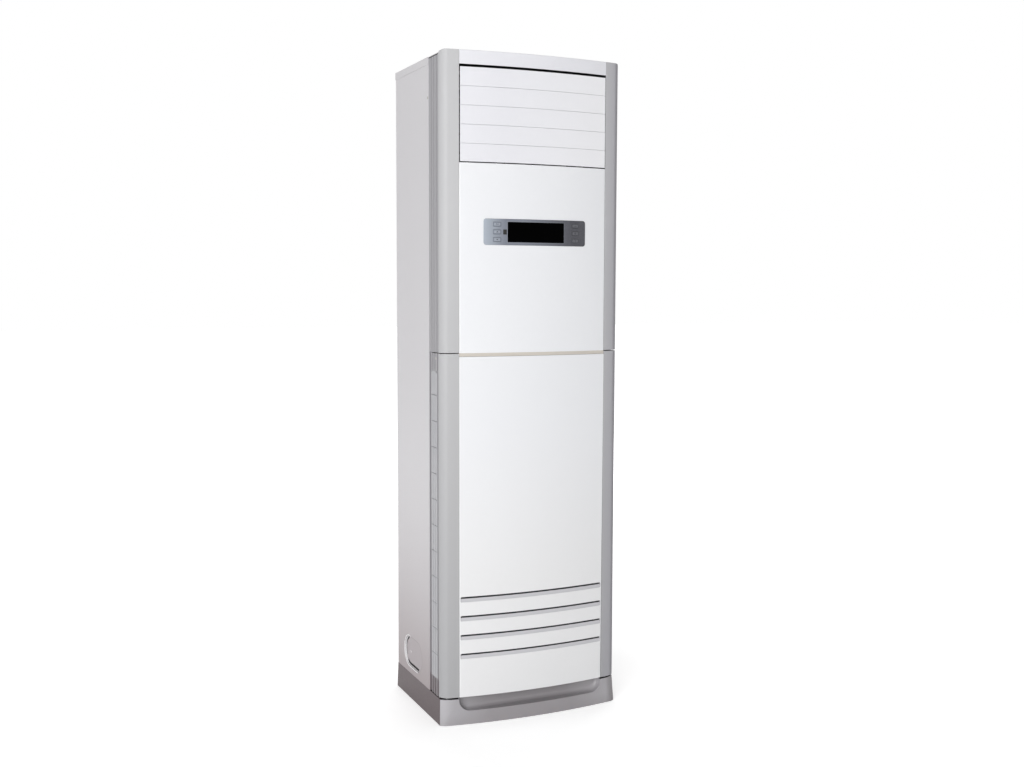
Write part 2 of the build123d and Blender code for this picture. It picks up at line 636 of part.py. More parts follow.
def lower_strip():
    """Right-hand lower strip with the grille's window and the seam's gap at its top."""
    outer = BODY_HALF - STRIP_RECESS
    inner = outer - STRIP_THICK
    top = SEAM_TOP + 0.6
    strip = strip_bar(PLINTH_HEIGHT + STRIP_FOOT, top, LOWER_GROOVES, LOWER_GROOVE_DEPTH)
    gap_back = STRIP_FRONT + STRIP_SEAM_DEPTH
    strip = strip - block(inner - 1, outer + 1, STRIP_FRONT - 1, gap_back, top - PILLAR_SEAM, top + 1)
    low, high = grille_span()
    y0 = STRIP_FRONT + GRILLE_FRONT
    y1 = y0 + GRILLE_WIDTH
    frame = block(inner, outer, y0 - 3, y1 + 3, low - 3, high + 3)
    opening = block(inner - 1, outer + 1, y0, y1, low, high)
    return side_screw_holes((strip + frame) - opening)


def side_grille():
    """Right-hand grille: upright slats cut across at even steps."""
    outer = BODY_HALF - STRIP_RECESS
    inner = outer - STRIP_THICK
    face = outer + GRILLE_PROUD
    low, high = grille_span()
    y0 = STRIP_FRONT + GRILLE_FRONT + 0.1
    y1 = y0 + GRILLE_WIDTH - 0.2
    plate = block(inner, face, y0, y1, low + 0.1, high - 0.1)
    corners = plate.edges().filter_by(Axis.X).group_by(Axis.Z)[-1]
    plate = fillet(corners, 10.0)
    slat = (GRILLE_WIDTH - 0.2 - (GRILLE_SLATS - 1) * GRILLE_RIB) / GRILLE_SLATS
    for index in range(1, GRILLE_SLATS):
        y = y0 + index * slat + (index - 1) * GRILLE_RIB
        plate = plate - block(face - 1.6, face + 5, y, y + GRILLE_RIB, low - 1, high + 1)
    pitch = (high - low + GRILLE_TOP_CELL) / GRILLE_CELLS
    for cell in range(1, GRILLE_CELLS):
        z = low - 5.2 + cell * pitch
        half = GRILLE_CUT / 2
        plate = plate - block(inner - 1, face + 5, y0 + 3, y1 - 3, z - half, z + half)
        plate = plate - block(face - 1.6, face + 5, y0 - 1, y1 + 1, z - half, z + half)
    return plate


# ---- Steel cabinet -------------------------------------------------------
def knockout_face(grow):
    """Stadium outline of the pipe knock-out on the side."""
    return Plane.YZ * Pos(BACK_Y - KNOCKOUT_BACK, PLINTH_HEIGHT + KNOCKOUT_UP) * SlotOverall(
        KNOCKOUT_LENGTH + 2 * grow, KNOCKOUT_HEIGHT + 2 * grow
    )


def knockout():
    """Right-hand knock-out plate, pressed in, with the slit round its rear end and foot."""
    x0 = STEEL_HALF - KNOCKOUT_DEPTH - SHEET
    y = BACK_Y - KNOCKOUT_BACK
    z = PLINTH_HEIGHT + KNOCKOUT_UP
    reach = KNOCKOUT_LENGTH
    rear = y + (KNOCKOUT_LENGTH - KNOCKOUT_HEIGHT) / 2
    dish = Pos(x0) * extrude(knockout_face(0.0), amount=SHEET)
    edge = -KNOCKOUT_WALL - 0.8
    slit = extrude(knockout_face(edge), amount=400)
    slit = slit - extrude(knockout_face(edge - KNOCKOUT_SLIT), amount=400)
    middle = (KNOCKOUT_HEIGHT / 2 + edge - KNOCKOUT_SLIT / 2) * 0.7071
    half = KNOCKOUT_WEB / 2
    web = block(0, 400, rear + middle - half, rear + middle + half, z - middle - half, z - middle + half)
    top = block(0, 400, y - reach, rear + KNOCKOUT_WEB + 2, z, z + KNOCKOUT_HEIGHT)
    front = block(0, 400, y - reach, y - KNOCKOUT_CUT, z - KNOCKOUT_HEIGHT, z + KNOCKOUT_HEIGHT)
    wall = extrude(knockout_face(0.0), amount=400) - extrude(knockout_face(-KNOCKOUT_WALL), amount=400)
    wall = wall & block(x0 + 0.1, INNER_HALF, y - reach, y + reach, z - reach, z + reach)
    dimple = rod_x(x0 + SHEET - 0.2, x0 + SHEET + 1.2, rear, z - 3, 3.5)
    return (dish - (slit - (web + top + front))) + wall + dimple


def screw_heights():
    """Heights of the cabinet screws on the back."""
    low = PLINTH_HEIGHT + 60
    high = ROOF_Z - 60
    step = (high - low) / (SCREW_ROWS - 1)
    return [low + index * step for index in range(SCREW_ROWS)]


def side_panel():
    """Right-hand steel side, folded at both edges, with the knock-out's opening."""
    rear = REAR_FACE - SHEET
    top = ROOF_Z - 1.0 - SHEET
    sheet = block(INNER_HALF, STEEL_HALF, STRIP_BACK, rear, PLINTH_HEIGHT, top)
    front_fold = block(STEEL_HALF - FRONT_FOLD, STEEL_HALF, STRIP_BACK, STRIP_BACK + SHEET, BODY_Z, top)
    rear_fold = block(STEEL_HALF - FOLD, STEEL_HALF, rear - SHEET, rear, PLINTH_HEIGHT, top)
    panel = sheet + front_fold + rear_fold
    panel = panel - (Pos(INNER_HALF - 2) * extrude(knockout_face(0.3), amount=6))
    for z in screw_heights():
        panel = panel - rod_y(STEEL_HALF - 7, rear - 5, rear + 5, z, SCREW_RADIUS + 0.1)
    return side_screw_holes(panel)


def back_panel():
    """Steel back with the screw holes and the two holes behind the wall bracket."""
    rear = REAR_FACE
    half = STEEL_HALF - 0.6
    panel = block(-half, half, rear - SHEET, rear, PLINTH_HEIGHT, ROOF_Z - 1.0 - SHEET)
    for z in screw_heights():
        for side in (-1, 1):
            panel = panel - rod_y(side * (STEEL_HALF - 7), rear - 5, rear + 5, z, SCREW_RADIUS + 0.1)
    for side in (-1, 1):
        x = side * WALL_HOLE_SPACING / 2
        panel = panel - rod_y(x, rear - 5, rear + 5, ROOF_Z - WALL_PLATE_BELOW_TOP, WALL_HOLE_RADIUS)
    return panel


def wall_bracket():
    """Flat strap on the back, by which the cabinet is held to a wall."""
    z = ROOF_Z - WALL_PLATE_BELOW_TOP
    half = WALL_HOLE_SPACING / 2 + 25
    strap = block(-half, half, REAR_FACE, BACK_Y, z - 20, z + 20)
    for side in (-1, 1):
        x = side * WALL_HOLE_SPACING / 2
        strap = strap - rod_y(x, REAR_FACE - 5, BACK_Y + 5, z, WALL_HOLE_RADIUS)
    return strap


def cabinet_screws():
    """Screws that hold the back to the folded sides."""
    screws = []
    for z in screw_heights():
        for side in (-1, 1):
            x = side * (STEEL_HALF - 7)
            head = rod_y(x, REAR_FACE, BACK_Y, z, SCREW_HEAD)
            shank = rod_y(x, REAR_FACE - 8, REAR_FACE + 0.5, z, SCREW_RADIUS)
            screws.append((head + shank).solid())
    for y, z, face in side_screw_places():
        for side in (-1, 1):
            head = rod_x(side * face, side * (face + SHEET), y, z, SCREW_HEAD - 0.5)
            shank = rod_x(side * (face - 5), side * (face + 0.5), y, z, SCREW_RADIUS)
            screws.append((head + shank).solid())
    return Compound(children=screws)


def side_screw_places():
    """Y, Z and outer face of the screws seen on each side."""
    strip = (STRIP_FRONT + 22.0, SEAM_TOP - 15.4, BODY_HALF - STRIP_RECESS)
    panel = (STRIP_BACK + 5.0, ROOF_Z - 108.0, STEEL_HALF)
    return [strip, panel]


def side_screw_holes(piece):
    """The piece with the right-hand side screws' holes."""
    for y, z, face in side_screw_places():
        piece = piece - rod_x(face - 8, face + 3, y, z, SCREW_RADIUS + 0.1)
    return piece


def top_cover():
    """Steel roof with its lips over the sides and the back."""
    front = PILLAR_BACK + SEAT
    edge = STEEL_HALF + SHEET
    roof = block(-edge, edge, STRIP_BACK + SEAT, BACK_Y, ROOF_Z - 2.0, ROOF_Z)
    tongue_half = BODY_HALF - STRIP_RECESS
    roof = roof + block(-tongue_half, tongue_half, front, STRIP_BACK + 1, ROOF_Z - 2.0, ROOF_Z)
    for side in (-1, 1):
        roof = roof + block(
            side * (STEEL_HALF + 0.05), side * (STEEL_HALF + SHEET), STRIP_BACK + SEAT, BACK_Y,
            ROOF_Z - COVER_LIP, ROOF_Z,
        )
    lip = block(-edge, edge, REAR_FACE + 0.05, BACK_Y, ROOF_Z - COVER_LIP, ROOF_Z)
    return roof + lip


# ---- Outlet: duct, blades, vanes -----------------------------------------
def blade_heights():
    """Height of each blade's axis."""
    return [SILL_Z + (index + 0.5) * BLADE_PITCH for index in range(BLADE_COUNT)]


def louvre_blade(z):
    """One bowed blade with its end arms, pins and crank."""
    low = z - BLADE_PITCH / 2 + (BLADE_GAP if z > blade_heights()[0] else BLADE_FOOT_GAP)
    high = z + BLADE_PITCH / 2
    blade = bowed_band(BLADE_HALF, 0, BLADE_THICK, low, high)
    if z < blade_heights()[-1]:
        near = BLADE_THICK + BLADE_LIP_GAP
        far = near + BLADE_LIP_THICK
        blade = blade + bowed_band(BLADE_HALF, BLADE_THICK - 0.5, far, high - 4, high)
        blade = blade + bowed_band(BLADE_HALF, near, far, high - 4, high + BLADE_LIP)
    front = APEX_Y + sag(BLADE_HALF) + 1.5
    for side in (-1, 1):
        arm = block(side * (BLADE_HALF - 3), side * BLADE_HALF, front, PIVOT_Y + 4, z - 4, z + 4)
        end = CHEEK_OUT + 2 if side < 0 else CHEEK_OUT
        pin = rod_x(side * (BLADE_HALF - 1), side * end, PIVOT_Y, z, PIVOT_PIN)
        blade = blade + arm + pin
    x0 = -CHEEK_OUT - 1.5
    crank = block(x0 - 2.5, x0, PIVOT_Y - 3, PIVOT_Y + CRANK + 3, z - 3, z + 3)
    crank_pin = rod_x(x0 - 6.5, x0 - 1, PIVOT_Y + CRANK, z, CRANK_PIN)
    return blade + crank + crank_pin


def louvre_link():
    """Bar that joins the five cranks, with a leg to the motor's crank."""
    heights = blade_heights()
    x1 = -CHEEK_OUT - 4.7
    x0 = x1 - LINK_THICK
    y = PIVOT_Y + CRANK
    bar = block(x0, x1, y - 3, y + 3, heights[0] - 3.5, heights[-1] + 3.5)
    leg = block(x0, x1, y - 3, y + MOTOR_SETBACK + 3, heights[0] - 3.5, heights[0] + 3.5)
    link = bar + leg
    for z in heights:
        link = link - rod_x(x0 - 1, x1 + 1, y, z, CRANK_PIN + RUN_FIT)
    return link - rod_x(x0 - 1, x1 + 1, y + MOTOR_SETBACK, heights[0], CRANK_PIN + RUN_FIT)


def louvre_crank():
    """Crank on the louvre motor's shaft."""
    z = blade_heights()[0]
    x1 = -CHEEK_OUT - 4.7 - LINK_THICK - 1.0
    x0 = x1 - 3
    shaft_y = PIVOT_Y + MOTOR_SETBACK
    arm = block(x0, x1, shaft_y - 4, shaft_y + CRANK + 3, z - 3.5, z + 3.5)
    pin = rod_x(x1 - 1, x1 + 1 + LINK_THICK, shaft_y + CRANK, z, CRANK_PIN)
    shaft = rod_x(x0 - 8, x0 + 1, shaft_y, z, 2.5)
    return arm + pin + shaft


def louvre_motor():
    """Small stepping motor outside the duct, on two posts."""
    z = blade_heights()[0]
    face = -CHEEK_OUT - 4.7 - LINK_THICK - 1.0 - 3 - 1.0
    shaft_y = PIVOT_Y + MOTOR_SETBACK
    body = rod_x(face - STEPPER_LENGTH, face, shaft_y, z, STEPPER_RADIUS)
    plate = block(face - 1.5, face, shaft_y - 6, shaft_y + 36, z - 14, z + 14)
    motor = body + plate
    for up in (-10, 10):
        motor = motor + rod_x(face - 1, -CHEEK_OUT, shaft_y + 31, z + up, 2.5)
    return motor - rod_x(face - 9, face + 1, shaft_y, z, 2.5 + RUN_FIT)


def vane_places():
    """X of each upright vane."""
    start = VANE_SIDE_ROOM - CHEEK_IN
    pitch = -2 * start / (VANE_COUNT - 1)
    return [start + index * pitch for index in range(VANE_COUNT)]


def vane(x):
    """One upright vane with its pins, and a notch for the link."""
    low = SILL_Z + 3
    high = CEILING_Z - 6
    y = VANE_AXIS_Y
    half = VANE_THICK / 2
    plate = block(x - half, x + half, y - VANE_AHEAD, y + VANE_BEHIND, low, high)
    plate = plate - block(x - 5, x + 5, y - VANE_AHEAD - 1, y - 9.0, low + 7, low + 19)
    plate = plate + rod_z(x, y, low, high, 3.0)
    plate = plate + rod_z(x, y, FLOOR_TOP - PLASTIC, high + 1, PIVOT_PIN)
    plate = plate + rod_z(x, y, low, CEILING_Z + 2.0, PIVOT_PIN)
    return plate + rod_z(x, y - CRANK, low + 3, low + 17, CRANK_PIN)


def vane_link():
    """Bar that joins the vanes."""
    low = SILL_Z + 3 + 10.5
    y = VANE_AXIS_Y - CRANK
    places = vane_places()
    bar = block(places[0] - 8, places[-1] + 8, y - 3.5, y + 3.5, low, low + 4)
    for x in places:
        bar = bar - rod_z(x, y, low - 1, low + 5, CRANK_PIN + RUN_FIT)
    return bar


def outlet_duct():
    """Duct behind the blades: floor, ceiling and two cheeks, with the bearings."""
    low = FLOOR_TOP - PLASTIC
    floor = block(-CHEEK_OUT, CHEEK_OUT, DUCT_FRONT_Y, DUCT_BACK_Y, low, FLOOR_TOP)
    ceiling = block(-CHEEK_OUT, CHEEK_OUT, DUCT_FRONT_Y + 6, DUCT_BACK_Y, CEILING_Z, CEILING_Z + PLASTIC)
    front = APEX_Y + sag(CHEEK_OUT) + PLASTIC + SEAT
    duct = floor + ceiling
    for side in (-1, 1):
        x0 = side * CHEEK_IN
        duct = duct + block(x0, side * CHEEK_OUT, front, DUCT_BACK_Y, low, CEILING_Z + PLASTIC)
    for side in (-1, 1):
        for z in (SILL_Z + 60, CEILING_Z - 40):
            duct = duct + block(
                side * CHEEK_IN, side * (BODY_HALF - STRIP_RECESS - STRIP_THICK - SEAT),
                VANE_AXIS_Y - 10, VANE_AXIS_Y + 2, z, z + 3,
            )
    for z in blade_heights():
        for side in (-1, 1):
            x0 = side * (CHEEK_IN - 2)
            duct = duct - rod_x(x0, side * (CHEEK_OUT + 2), PIVOT_Y, z, PIVOT_PIN + RUN_FIT)
    for x in vane_places():
        duct = duct - rod_z(x, VANE_AXIS_Y, low - 5, FLOOR_TOP + 5, PIVOT_PIN + RUN_FIT)
        duct = duct - rod_z(x, VANE_AXIS_Y, CEILING_Z - 5, CEILING_Z + 5, PIVOT_PIN + RUN_FIT)
    return duct


def vane_motor():
    """Stepping motor over the duct, on the second vane's axis."""
    x = vane_places()[1]
    z0 = CEILING_Z + PLASTIC
    body = rod_z(x, VANE_AXIS_Y, z0, z0 + STEPPER_LENGTH - 2, STEPPER_RADIUS)
    plate = block(x - 22, x + 22, VANE_AXIS_Y - 7, VANE_AXIS_Y + 7, z0, z0 + 1.5)
    return body + plate


# ---- Air intake: filter, partition, fan ----------------------------------
def filter_bounds():
    """Half width, front, back, lower and upper edge of the filter."""
    half = PANEL_HALF - 3.5
    back = APEX_Y + FILTER_BACK
    return half, back - FILTER_THICK, back, BODY_Z + FILTER_BOTTOM, LOWER_TOP - FILTER_TOP_ROOM


def filter_frame():
    """Filter frame with three cross bars and a pull tab."""
    half, y0, y1, z0, z1 = filter_bounds()
    frame = block(-half, half, y0, y1, z0, z1)
    clear = (z1 - z0 - 5 * FILTER_BAR) / 4
    for index in range(4):
        low = z0 + FILTER_BAR + index * (clear + FILTER_BAR)
        for x0, x1 in ((-half + FILTER_BAR, -FILTER_BAR / 2), (FILTER_BAR / 2, half - FILTER_BAR)):
            frame = frame - block(x0, x1, y0 - 1, y1 + 1, low, low + clear)
    inner = block(-half + 4, half - 4, y0 + 2, y0 + 3, z0 + 4, z1 - 4)
    middle = (z0 + z1) / 2
    tab = block(-20, 20, y0 - 6, y0 + 1, middle - 4, middle + 4)
    return frame - inner + tab


def filter_mesh():
    """Mesh sheet held in the frame's groove."""
    half, y0, _, z0, z1 = filter_bounds()
    return block(-half + 4.1, half - 4.1, y0 + 2.1, y0 + 2.9, z0 + 4.1, z1 - 4.1)


def inlet_partition():
    """Steel partition with its bell mouth and the filter's two rails."""
    y0 = PARTITION_Y
    sheet = 1.5
    half = STEEL_HALF - 10
    plate = block(-half, half, y0, y0 + sheet, BODY_Z, PARTITION_TOP)
    for side in (-1, 1):
        plate = plate + block(side * (half - sheet), side * half, y0, STRIP_BACK, BODY_Z, PARTITION_TOP)
    radius = INLET_RADIUS - 6
    plate = plate - rod_y(0, y0 - 5, y0 + 5, WHEEL_Z, radius)
    flare = Pos(radius + 9, 0) * Circle(9) - Pos(radius + 9, 0) * Circle(7.5)
    flare = flare & (Pos(radius + 4.5, 4.5) * Rectangle(9, 9))
    mouth = revolve(Plane.XY * flare, Axis.Y, revolution_arc=360)
    plate = plate + Pos(0, y0 + sheet, WHEEL_Z) * mouth
    filter_half, f0, f1, z0, z1 = filter_bounds()
    wide = filter_half + 1
    groove = block(-wide, wide, f0 - SLIDE_FIT, f1 + SLIDE_FIT, z0 - 0.2, LOWER_TOP + 50)
    for side in (-1, 1):
        x0 = side * (filter_half - 6)
        x1 = side * (filter_half + 3)
        rail = block(x0, x1, f0 - 3, y0 + 0.5, z0 - 4, z1 - 15)
        hollow = block(side * (filter_half - 8), side * (filter_half + 0.5), f1 + 3, y0, z0 - 5, z1)
        plate = plate + (rail - groove - hollow)
    return plate


def scroll_outline(offset):
    """Scroll drawn flat, X across and Y up, its wall moved outwards by the offset."""
    step = SCROLL_STEP
    near = SCROLL_START + offset
    middle_x = -step / 2
    middle_y = WHEEL_Z + step / 2
    right = middle_x + step + near + 2 * step
    tongue = right - OUTLET_WIDTH - 2 * offset
    lines = [
        CenterArc((middle_x, middle_y), near, 90, 90),
        CenterArc((middle_x + step, middle_y), near + step, 180, 90),
        CenterArc((middle_x + step, middle_y + step), near + 2 * step, 270, 90),
        Line((right, middle_y + step), (right, DECK_Z)),
        Line((right, DECK_Z), (tongue, DECK_Z)),
        Line((tongue, DECK_Z), (tongue, middle_y + near)),
        Line((tongue, middle_y + near), (middle_x, middle_y + near)),
    ]
    return make_face(lines)


def scroll_right():
    """X of the inner face of the scroll's outlet on the right."""
    return SCROLL_STEP / 2 + SCROLL_START + 2 * SCROLL_STEP


def scroll_housing():
    """Scroll wall and back plate, with the motor's four stands."""
    wall = SCROLL_WALL
    depth = SCROLL_BACK - SCROLL_FRONT
    outer = Plane.XZ * scroll_outline(wall)
    inner = Plane.XZ * scroll_outline(0.0)
    shell = Pos(0, SCROLL_BACK) * extrude(outer, amount=depth)
    room = Pos(0, SCROLL_BACK - wall) * extrude(inner, amount=depth)
    top = block(-400, 400, SCROLL_FRONT, SCROLL_BACK - wall, DECK_Z - 20, DECK_Z + 20)
    top = top & (Pos(0, SCROLL_BACK) * extrude(inner, amount=depth))
    housing = shell - room - top
    housing = housing - rod_y(0, SCROLL_BACK - 10, SCROLL_BACK + 10, WHEEL_Z, SHAFT_RADIUS + 6)
    for turn in range(4):
        angle = math.radians(45 + 90 * turn)
        x = math.cos(angle) * (MOTOR_RADIUS + 6)
        z = WHEEL_Z + math.sin(angle) * (MOTOR_RADIUS + 6)
        housing = housing + rod_y(x, SCROLL_BACK - 1, SCROLL_BACK + MOTOR_STAND, z, 7.0)
    return housing


def fan_wheel():
    """Squirrel-cage wheel: back plate, hub, blades and front ring."""
    y0 = SCROLL_FRONT + WHEEL_ROOM
    y1 = SCROLL_BACK - SCROLL_WALL - WHEEL_ROOM
    back = rod_y(0, y1 - 2, y1, WHEEL_Z, WHEEL_RADIUS)
    ring = rod_y(0, y0, y0 + 4, WHEEL_Z, WHEEL_RADIUS)
    ring = ring - rod_y(0, y0 - 1, y0 + 5, WHEEL_Z, WHEEL_RADIUS - 8)
    hub = rod_y(0, y1 - 42, y1 + 6, WHEEL_Z, HUB_RADIUS)
    middle = WHEEL_RADIUS - WHEEL_BLADE_CHORD / 2 - 1
    curve = WHEEL_BLADE_CHORD * 0.72
    arc = Circle(curve + 0.9) - Circle(curve - 0.9)
    arc = arc & (Pos(curve, 0) * Rectangle(curve, WHEEL_BLADE_CHORD - 2))
    shape = Pos(middle, 0) * Rot(0, 0, 78) * Pos(-curve, 0) * arc
    one = Pos(0, y1 - 1) * extrude(Plane.XZ * shape, amount=y1 - y0 - 3)
    blades = []
    for index in range(WHEEL_BLADES):
        blades.append(Pos(0, 0, WHEEL_Z) * Rot(0, 360 / WHEEL_BLADES * index, 0) * one)
    wheel = back.fuse(hub, ring, *blades)
    return wheel - rod_y(0, y1 - 60, y1 + 20, WHEEL_Z, SHAFT_RADIUS)


def fan_shaft():
    """Shaft from the motor into the wheel's hub."""
    y1 = SCROLL_BACK - SCROLL_WALL - WHEEL_ROOM
    end = SCROLL_BACK + MOTOR_STAND + MOTOR_LENGTH - 14
    return rod_y(0, y1 - 48, end, WHEEL_Z, SHAFT_RADIUS)


def fan_motor():
    """Fan motor with its flange."""
    y0 = SCROLL_BACK + MOTOR_STAND
    flange = rod_y(0, y0, y0 + 4, WHEEL_Z, MOTOR_RADIUS + 14)
    body = rod_y(0, y0 + 3, y0 + MOTOR_LENGTH - 8, WHEEL_Z, MOTOR_RADIUS)
    cap = rod_y(0, y0 + MOTOR_LENGTH - 9, y0 + MOTOR_LENGTH, WHEEL_Z, MOTOR_RADIUS * 0.6)
    motor = flange + body + cap
    return motor - rod_y(0, y0 - 1, y0 + MOTOR_LENGTH - 12, WHEEL_Z, SHAFT_RADIUS + RUN_FIT)


def pipe_lines():
    """X and Y of the upright runs of the gas pipe, the liquid pipe and the hose."""
    side = -INNER_HALF + 18.8
    return (side, BACK_Y - 30), (side, BACK_Y - 14), (HOSE_X, BACK_Y - 26)


def fan_deck():
    """Steel deck over the scroll, with the openings for air, pipes and hose."""
    half = INNER_HALF - SEAT
    deck = block(-half, half, PARTITION_Y + 1.5 + SEAT, REAR_FACE - SHEET - SHEET, DECK_Z, DECK_Z + 1.5)
    right = scroll_right()
    left = right - OUTLET_WIDTH
    air = block(left, right, SCROLL_FRONT, SCROLL_BACK - SCROLL_WALL, DECK_Z - 1, DECK_Z + 3)
    deck = deck - air
    for side in (-1, 1):
        fold = STEEL_HALF - FRONT_FOLD - 1
        y1 = STRIP_BACK + 2
        deck = deck - block(side * fold, side * half, y1 - 42, y1, DECK_Z - 1, DECK_Z + 3)
    radii = (GAS_RADIUS, LIQUID_RADIUS, HOSE_RADIUS)
    for (x, y), radius in zip(pipe_lines(), radii):
        deck = deck - rod_z(x, y, DECK_Z - 1, DECK_Z + 3, radius + 0.6)
    return deck


# ---- Cooling coil, tray and pipes ----------------------------------------
def coil_place():
    """Moves a coil drawn upright at the origin to its leaning place."""
    foot_y = APEX_Y + COIL_FRONT + COIL_DEPTH / 2
    foot_z = SEAM_TOP + COIL_UP
    return Pos(0, foot_y, foot_z) * Rot(-COIL_TILT, 0, 0)


def tube_places():
    """(Y, Z) of each tube in the upright coil, row by row."""
    count = int((COIL_HEIGHT - 20) // TUBE_PITCH)
    start = (COIL_HEIGHT - (count - 1) * TUBE_PITCH) / 2
    rows = []
    for row in range(TUBE_ROWS):
        y = (row - (TUBE_ROWS - 1) / 2) * ROW_PITCH
        rows.append([(y, start + index * TUBE_PITCH) for index in range(count)])
    return rows


def coil_half():
    """Half the finned length of the coil."""
    return INNER_HALF - COIL_SIDE_ROOM


def holed_plate(grow, bottom, top):
    """Upright plate in YZ with the holes of all the tubes."""
    shape = Pos(0, (bottom + top) / 2) * Rectangle(COIL_DEPTH + grow, top - bottom)
    for row in tube_places():
        for y, z in row:
            shape = shape - Pos(y, z) * Circle(TUBE_RADIUS + 0.1)
    return Plane.YZ * shape


def coil_fins():
    """Fin pack as separate sheets."""
    half = coil_half() - 4
    one = extrude(holed_plate(0, 0, COIL_HEIGHT), amount=FIN_THICK).solid()
    fins = []
    for index in range(FIN_COUNT):
        x = -half + index * (2 * half - FIN_THICK) / (FIN_COUNT - 1)
        fins.append((coil_place() * Pos(x) * one))
    return Compound(children=fins)


def coil_end_plates():
    """The two end plates, with a flange each to the steel sides."""
    plates = []
    for side in (-1, 1):
        x = side * coil_half()
        plate = Pos(x) * extrude(holed_plate(6, 0, COIL_HEIGHT), amount=1.5)
        reach = INNER_HALF - SEAT
        depth = COIL_DEPTH / 2 + 3
        rows = tube_places()[0]
        gap = 4 if side < 0 else 3
        between = (rows[gap][1] + rows[gap + 1][1]) / 2
        for z in (rows[0][1] - TUBE_PITCH / 2, between):
            plate = plate + block(x, side * reach, -depth, depth, z, z + 1.5)
        plates.append((coil_place() * plate).solid())
    return Compound(children=plates)


def coil_tubes():
    """One serpentine tube for each row, both ends open on the left."""
    end = coil_half() + 6
    stub = coil_half() + TUBE_STUB
    snakes = []
    for row in tube_places():
        y = row[0][0]
        points = [(-stub, y, row[0][1])]
        side = 1
        for index, (_, z) in enumerate(row[:-1]):
            points.append((side * (end + TUBE_PITCH / 2), y, z))
            points.append((side * (end + TUBE_PITCH / 2), y, row[index + 1][1]))
            side = -side
        points.append((side * stub, y, row[-1][1]))
        path = FilletPolyline(*points, radius=TUBE_PITCH / 2 - 0.3)
        section = Plane(origin=path @ 0, z_dir=path % 0)
        snakes.append((coil_place() * sweep(section * Circle(TUBE_RADIUS), path=path)).solid())
    return Compound(children=snakes)


def tube_end(row, last):
    """World place of a row's first or last tube end."""
    y, z = tube_places()[row][-1 if last else 0]
    spot = coil_place() * Pos(0, y, z)
    return spot.position.Y, spot.position.Z


def union(x, y, z, radius):
    """Brass union at a pipe's lower end, facing forwards."""
    nut = Pos(x, y, z) * extrude(Plane.XZ * RegularPolygon(radius + 5, 6), amount=14)
    nose = rod_y(x, y - 20, y - 13, z, radius + 2)
    bore = rod_y(x, y - 21, y - 6, z, radius - 1)
    return ((nut + nose) - bore).solid()


def refrigerant_pipes():
    """Gas and liquid pipe from the coil down to their unions at the knock-out."""
    (gas_x, gas_y), (liquid_x, liquid_y), _ = pipe_lines()
    start = -coil_half() - TUBE_STUB - SEAT
    low = PLINTH_HEIGHT + KNOCKOUT_UP
    end_y = BACK_Y - KNOCKOUT_BACK + 36
    y1, z1 = tube_end(1, False)
    gas = tube(
        [
            (start, y1, z1), (gas_x, y1, z1), (gas_x, gas_y, z1),
            (gas_x, gas_y, low + 18), (gas_x, end_y, low + 18),
        ],
        PIPE_BEND, GAS_RADIUS,
    )
    y0, z0 = tube_end(0, True)
    liquid = tube(
        [
            (start, y0, z0), (liquid_x, y0, z0), (liquid_x, y0, z0 + 45), (liquid_x, liquid_y, z0 + 45),
            (liquid_x, liquid_y, low - 14), (liquid_x, end_y, low - 14),
        ],
        PIPE_BEND, LIQUID_RADIUS,
    )
    gas_union = union(gas_x, end_y, low + 18, GAS_RADIUS)
    liquid_union = union(liquid_x, end_y, low - 14, LIQUID_RADIUS)
    return Compound(children=[gas.solid(), liquid.solid(), gas_union, liquid_union])


def drain_tray():
    """Tray under the coil's foot, with side lugs and its drain spigot."""
    y0 = PARTITION_Y + 6
    y1 = y0 + TRAY_DEPTH
    z0 = SEAM_TOP - 16
    half = STEEL_HALF - FRONT_FOLD - 1
    tray = block(-half, half, y0, y1, z0, z0 + TRAY_HEIGHT)
    tray = tray - block(-half + 2, half - 2, y0 + 2, y1 - 2, z0 + 2, z0 + TRAY_HEIGHT + 1)
    for side in (-1, 1):
        lug_front = STRIP_BACK + SHEET + 2
        tray = tray + block(side * (half - 1), side * (INNER_HALF - SEAT), lug_front, y1, z0, z0 + 2)
    spigot_y = y0 + TRAY_DEPTH - 22
    tray = tray + rod_z(HOSE_X, spigot_y, z0 - 24, z0 + 1, HOSE_RADIUS - HOSE_WALL - RUN_FIT)
    return tray - rod_z(HOSE_X, spigot_y, z0 - 25, z0 + 5, HOSE_RADIUS - HOSE_WALL - 2)


def drain_hose():
    """Hose from the spigot down to the knock-out."""
    spigot_y = PARTITION_Y + 6 + TRAY_DEPTH - 22
    z0 = SEAM_TOP - 16
    _, _, (x, y) = pipe_lines()
    low = PLINTH_HEIGHT + KNOCKOUT_UP - 26
    points = [
        (x, spigot_y, z0 - SEAT), (x, spigot_y, z0 - 80), (x, y, z0 - 80), (x, y, low), (x - 62, y, low),
    ]
    return tube(points, 30.0, HOSE_RADIUS, HOSE_WALL)


def electrical_box():
    """Open steel tray behind the upper panel, on a back plate between the strips."""
    reach = BODY_HALF - STRIP_RECESS - STRIP_THICK - SEAT
    back = PARTITION_Y - 4
    z0 = SEAM_TOP + BOX_ABOVE_SEAM
    z1 = z0 + BOX_HEIGHT
    plate = block(-reach, reach, back - 1.5, back, z0, z1)
    walls = block(-BOX_HALF, BOX_HALF, back - BOX_DEPTH, back - 0.5, z0, z1)
    room = block(-BOX_HALF + 1.5, BOX_HALF - 1.5, back - BOX_DEPTH - 1, back - 1.5, z0 + 1.5, z1 - 1.5)
    return plate + (walls - room)


def electrical_cover():
    """Lid on the electrical box."""
    back = PARTITION_Y - 4 - BOX_DEPTH
    z0 = SEAM_TOP + BOX_ABOVE_SEAM
    return block(-BOX_HALF, BOX_HALF, back - 1.5, back, z0, z0 + BOX_HEIGHT)


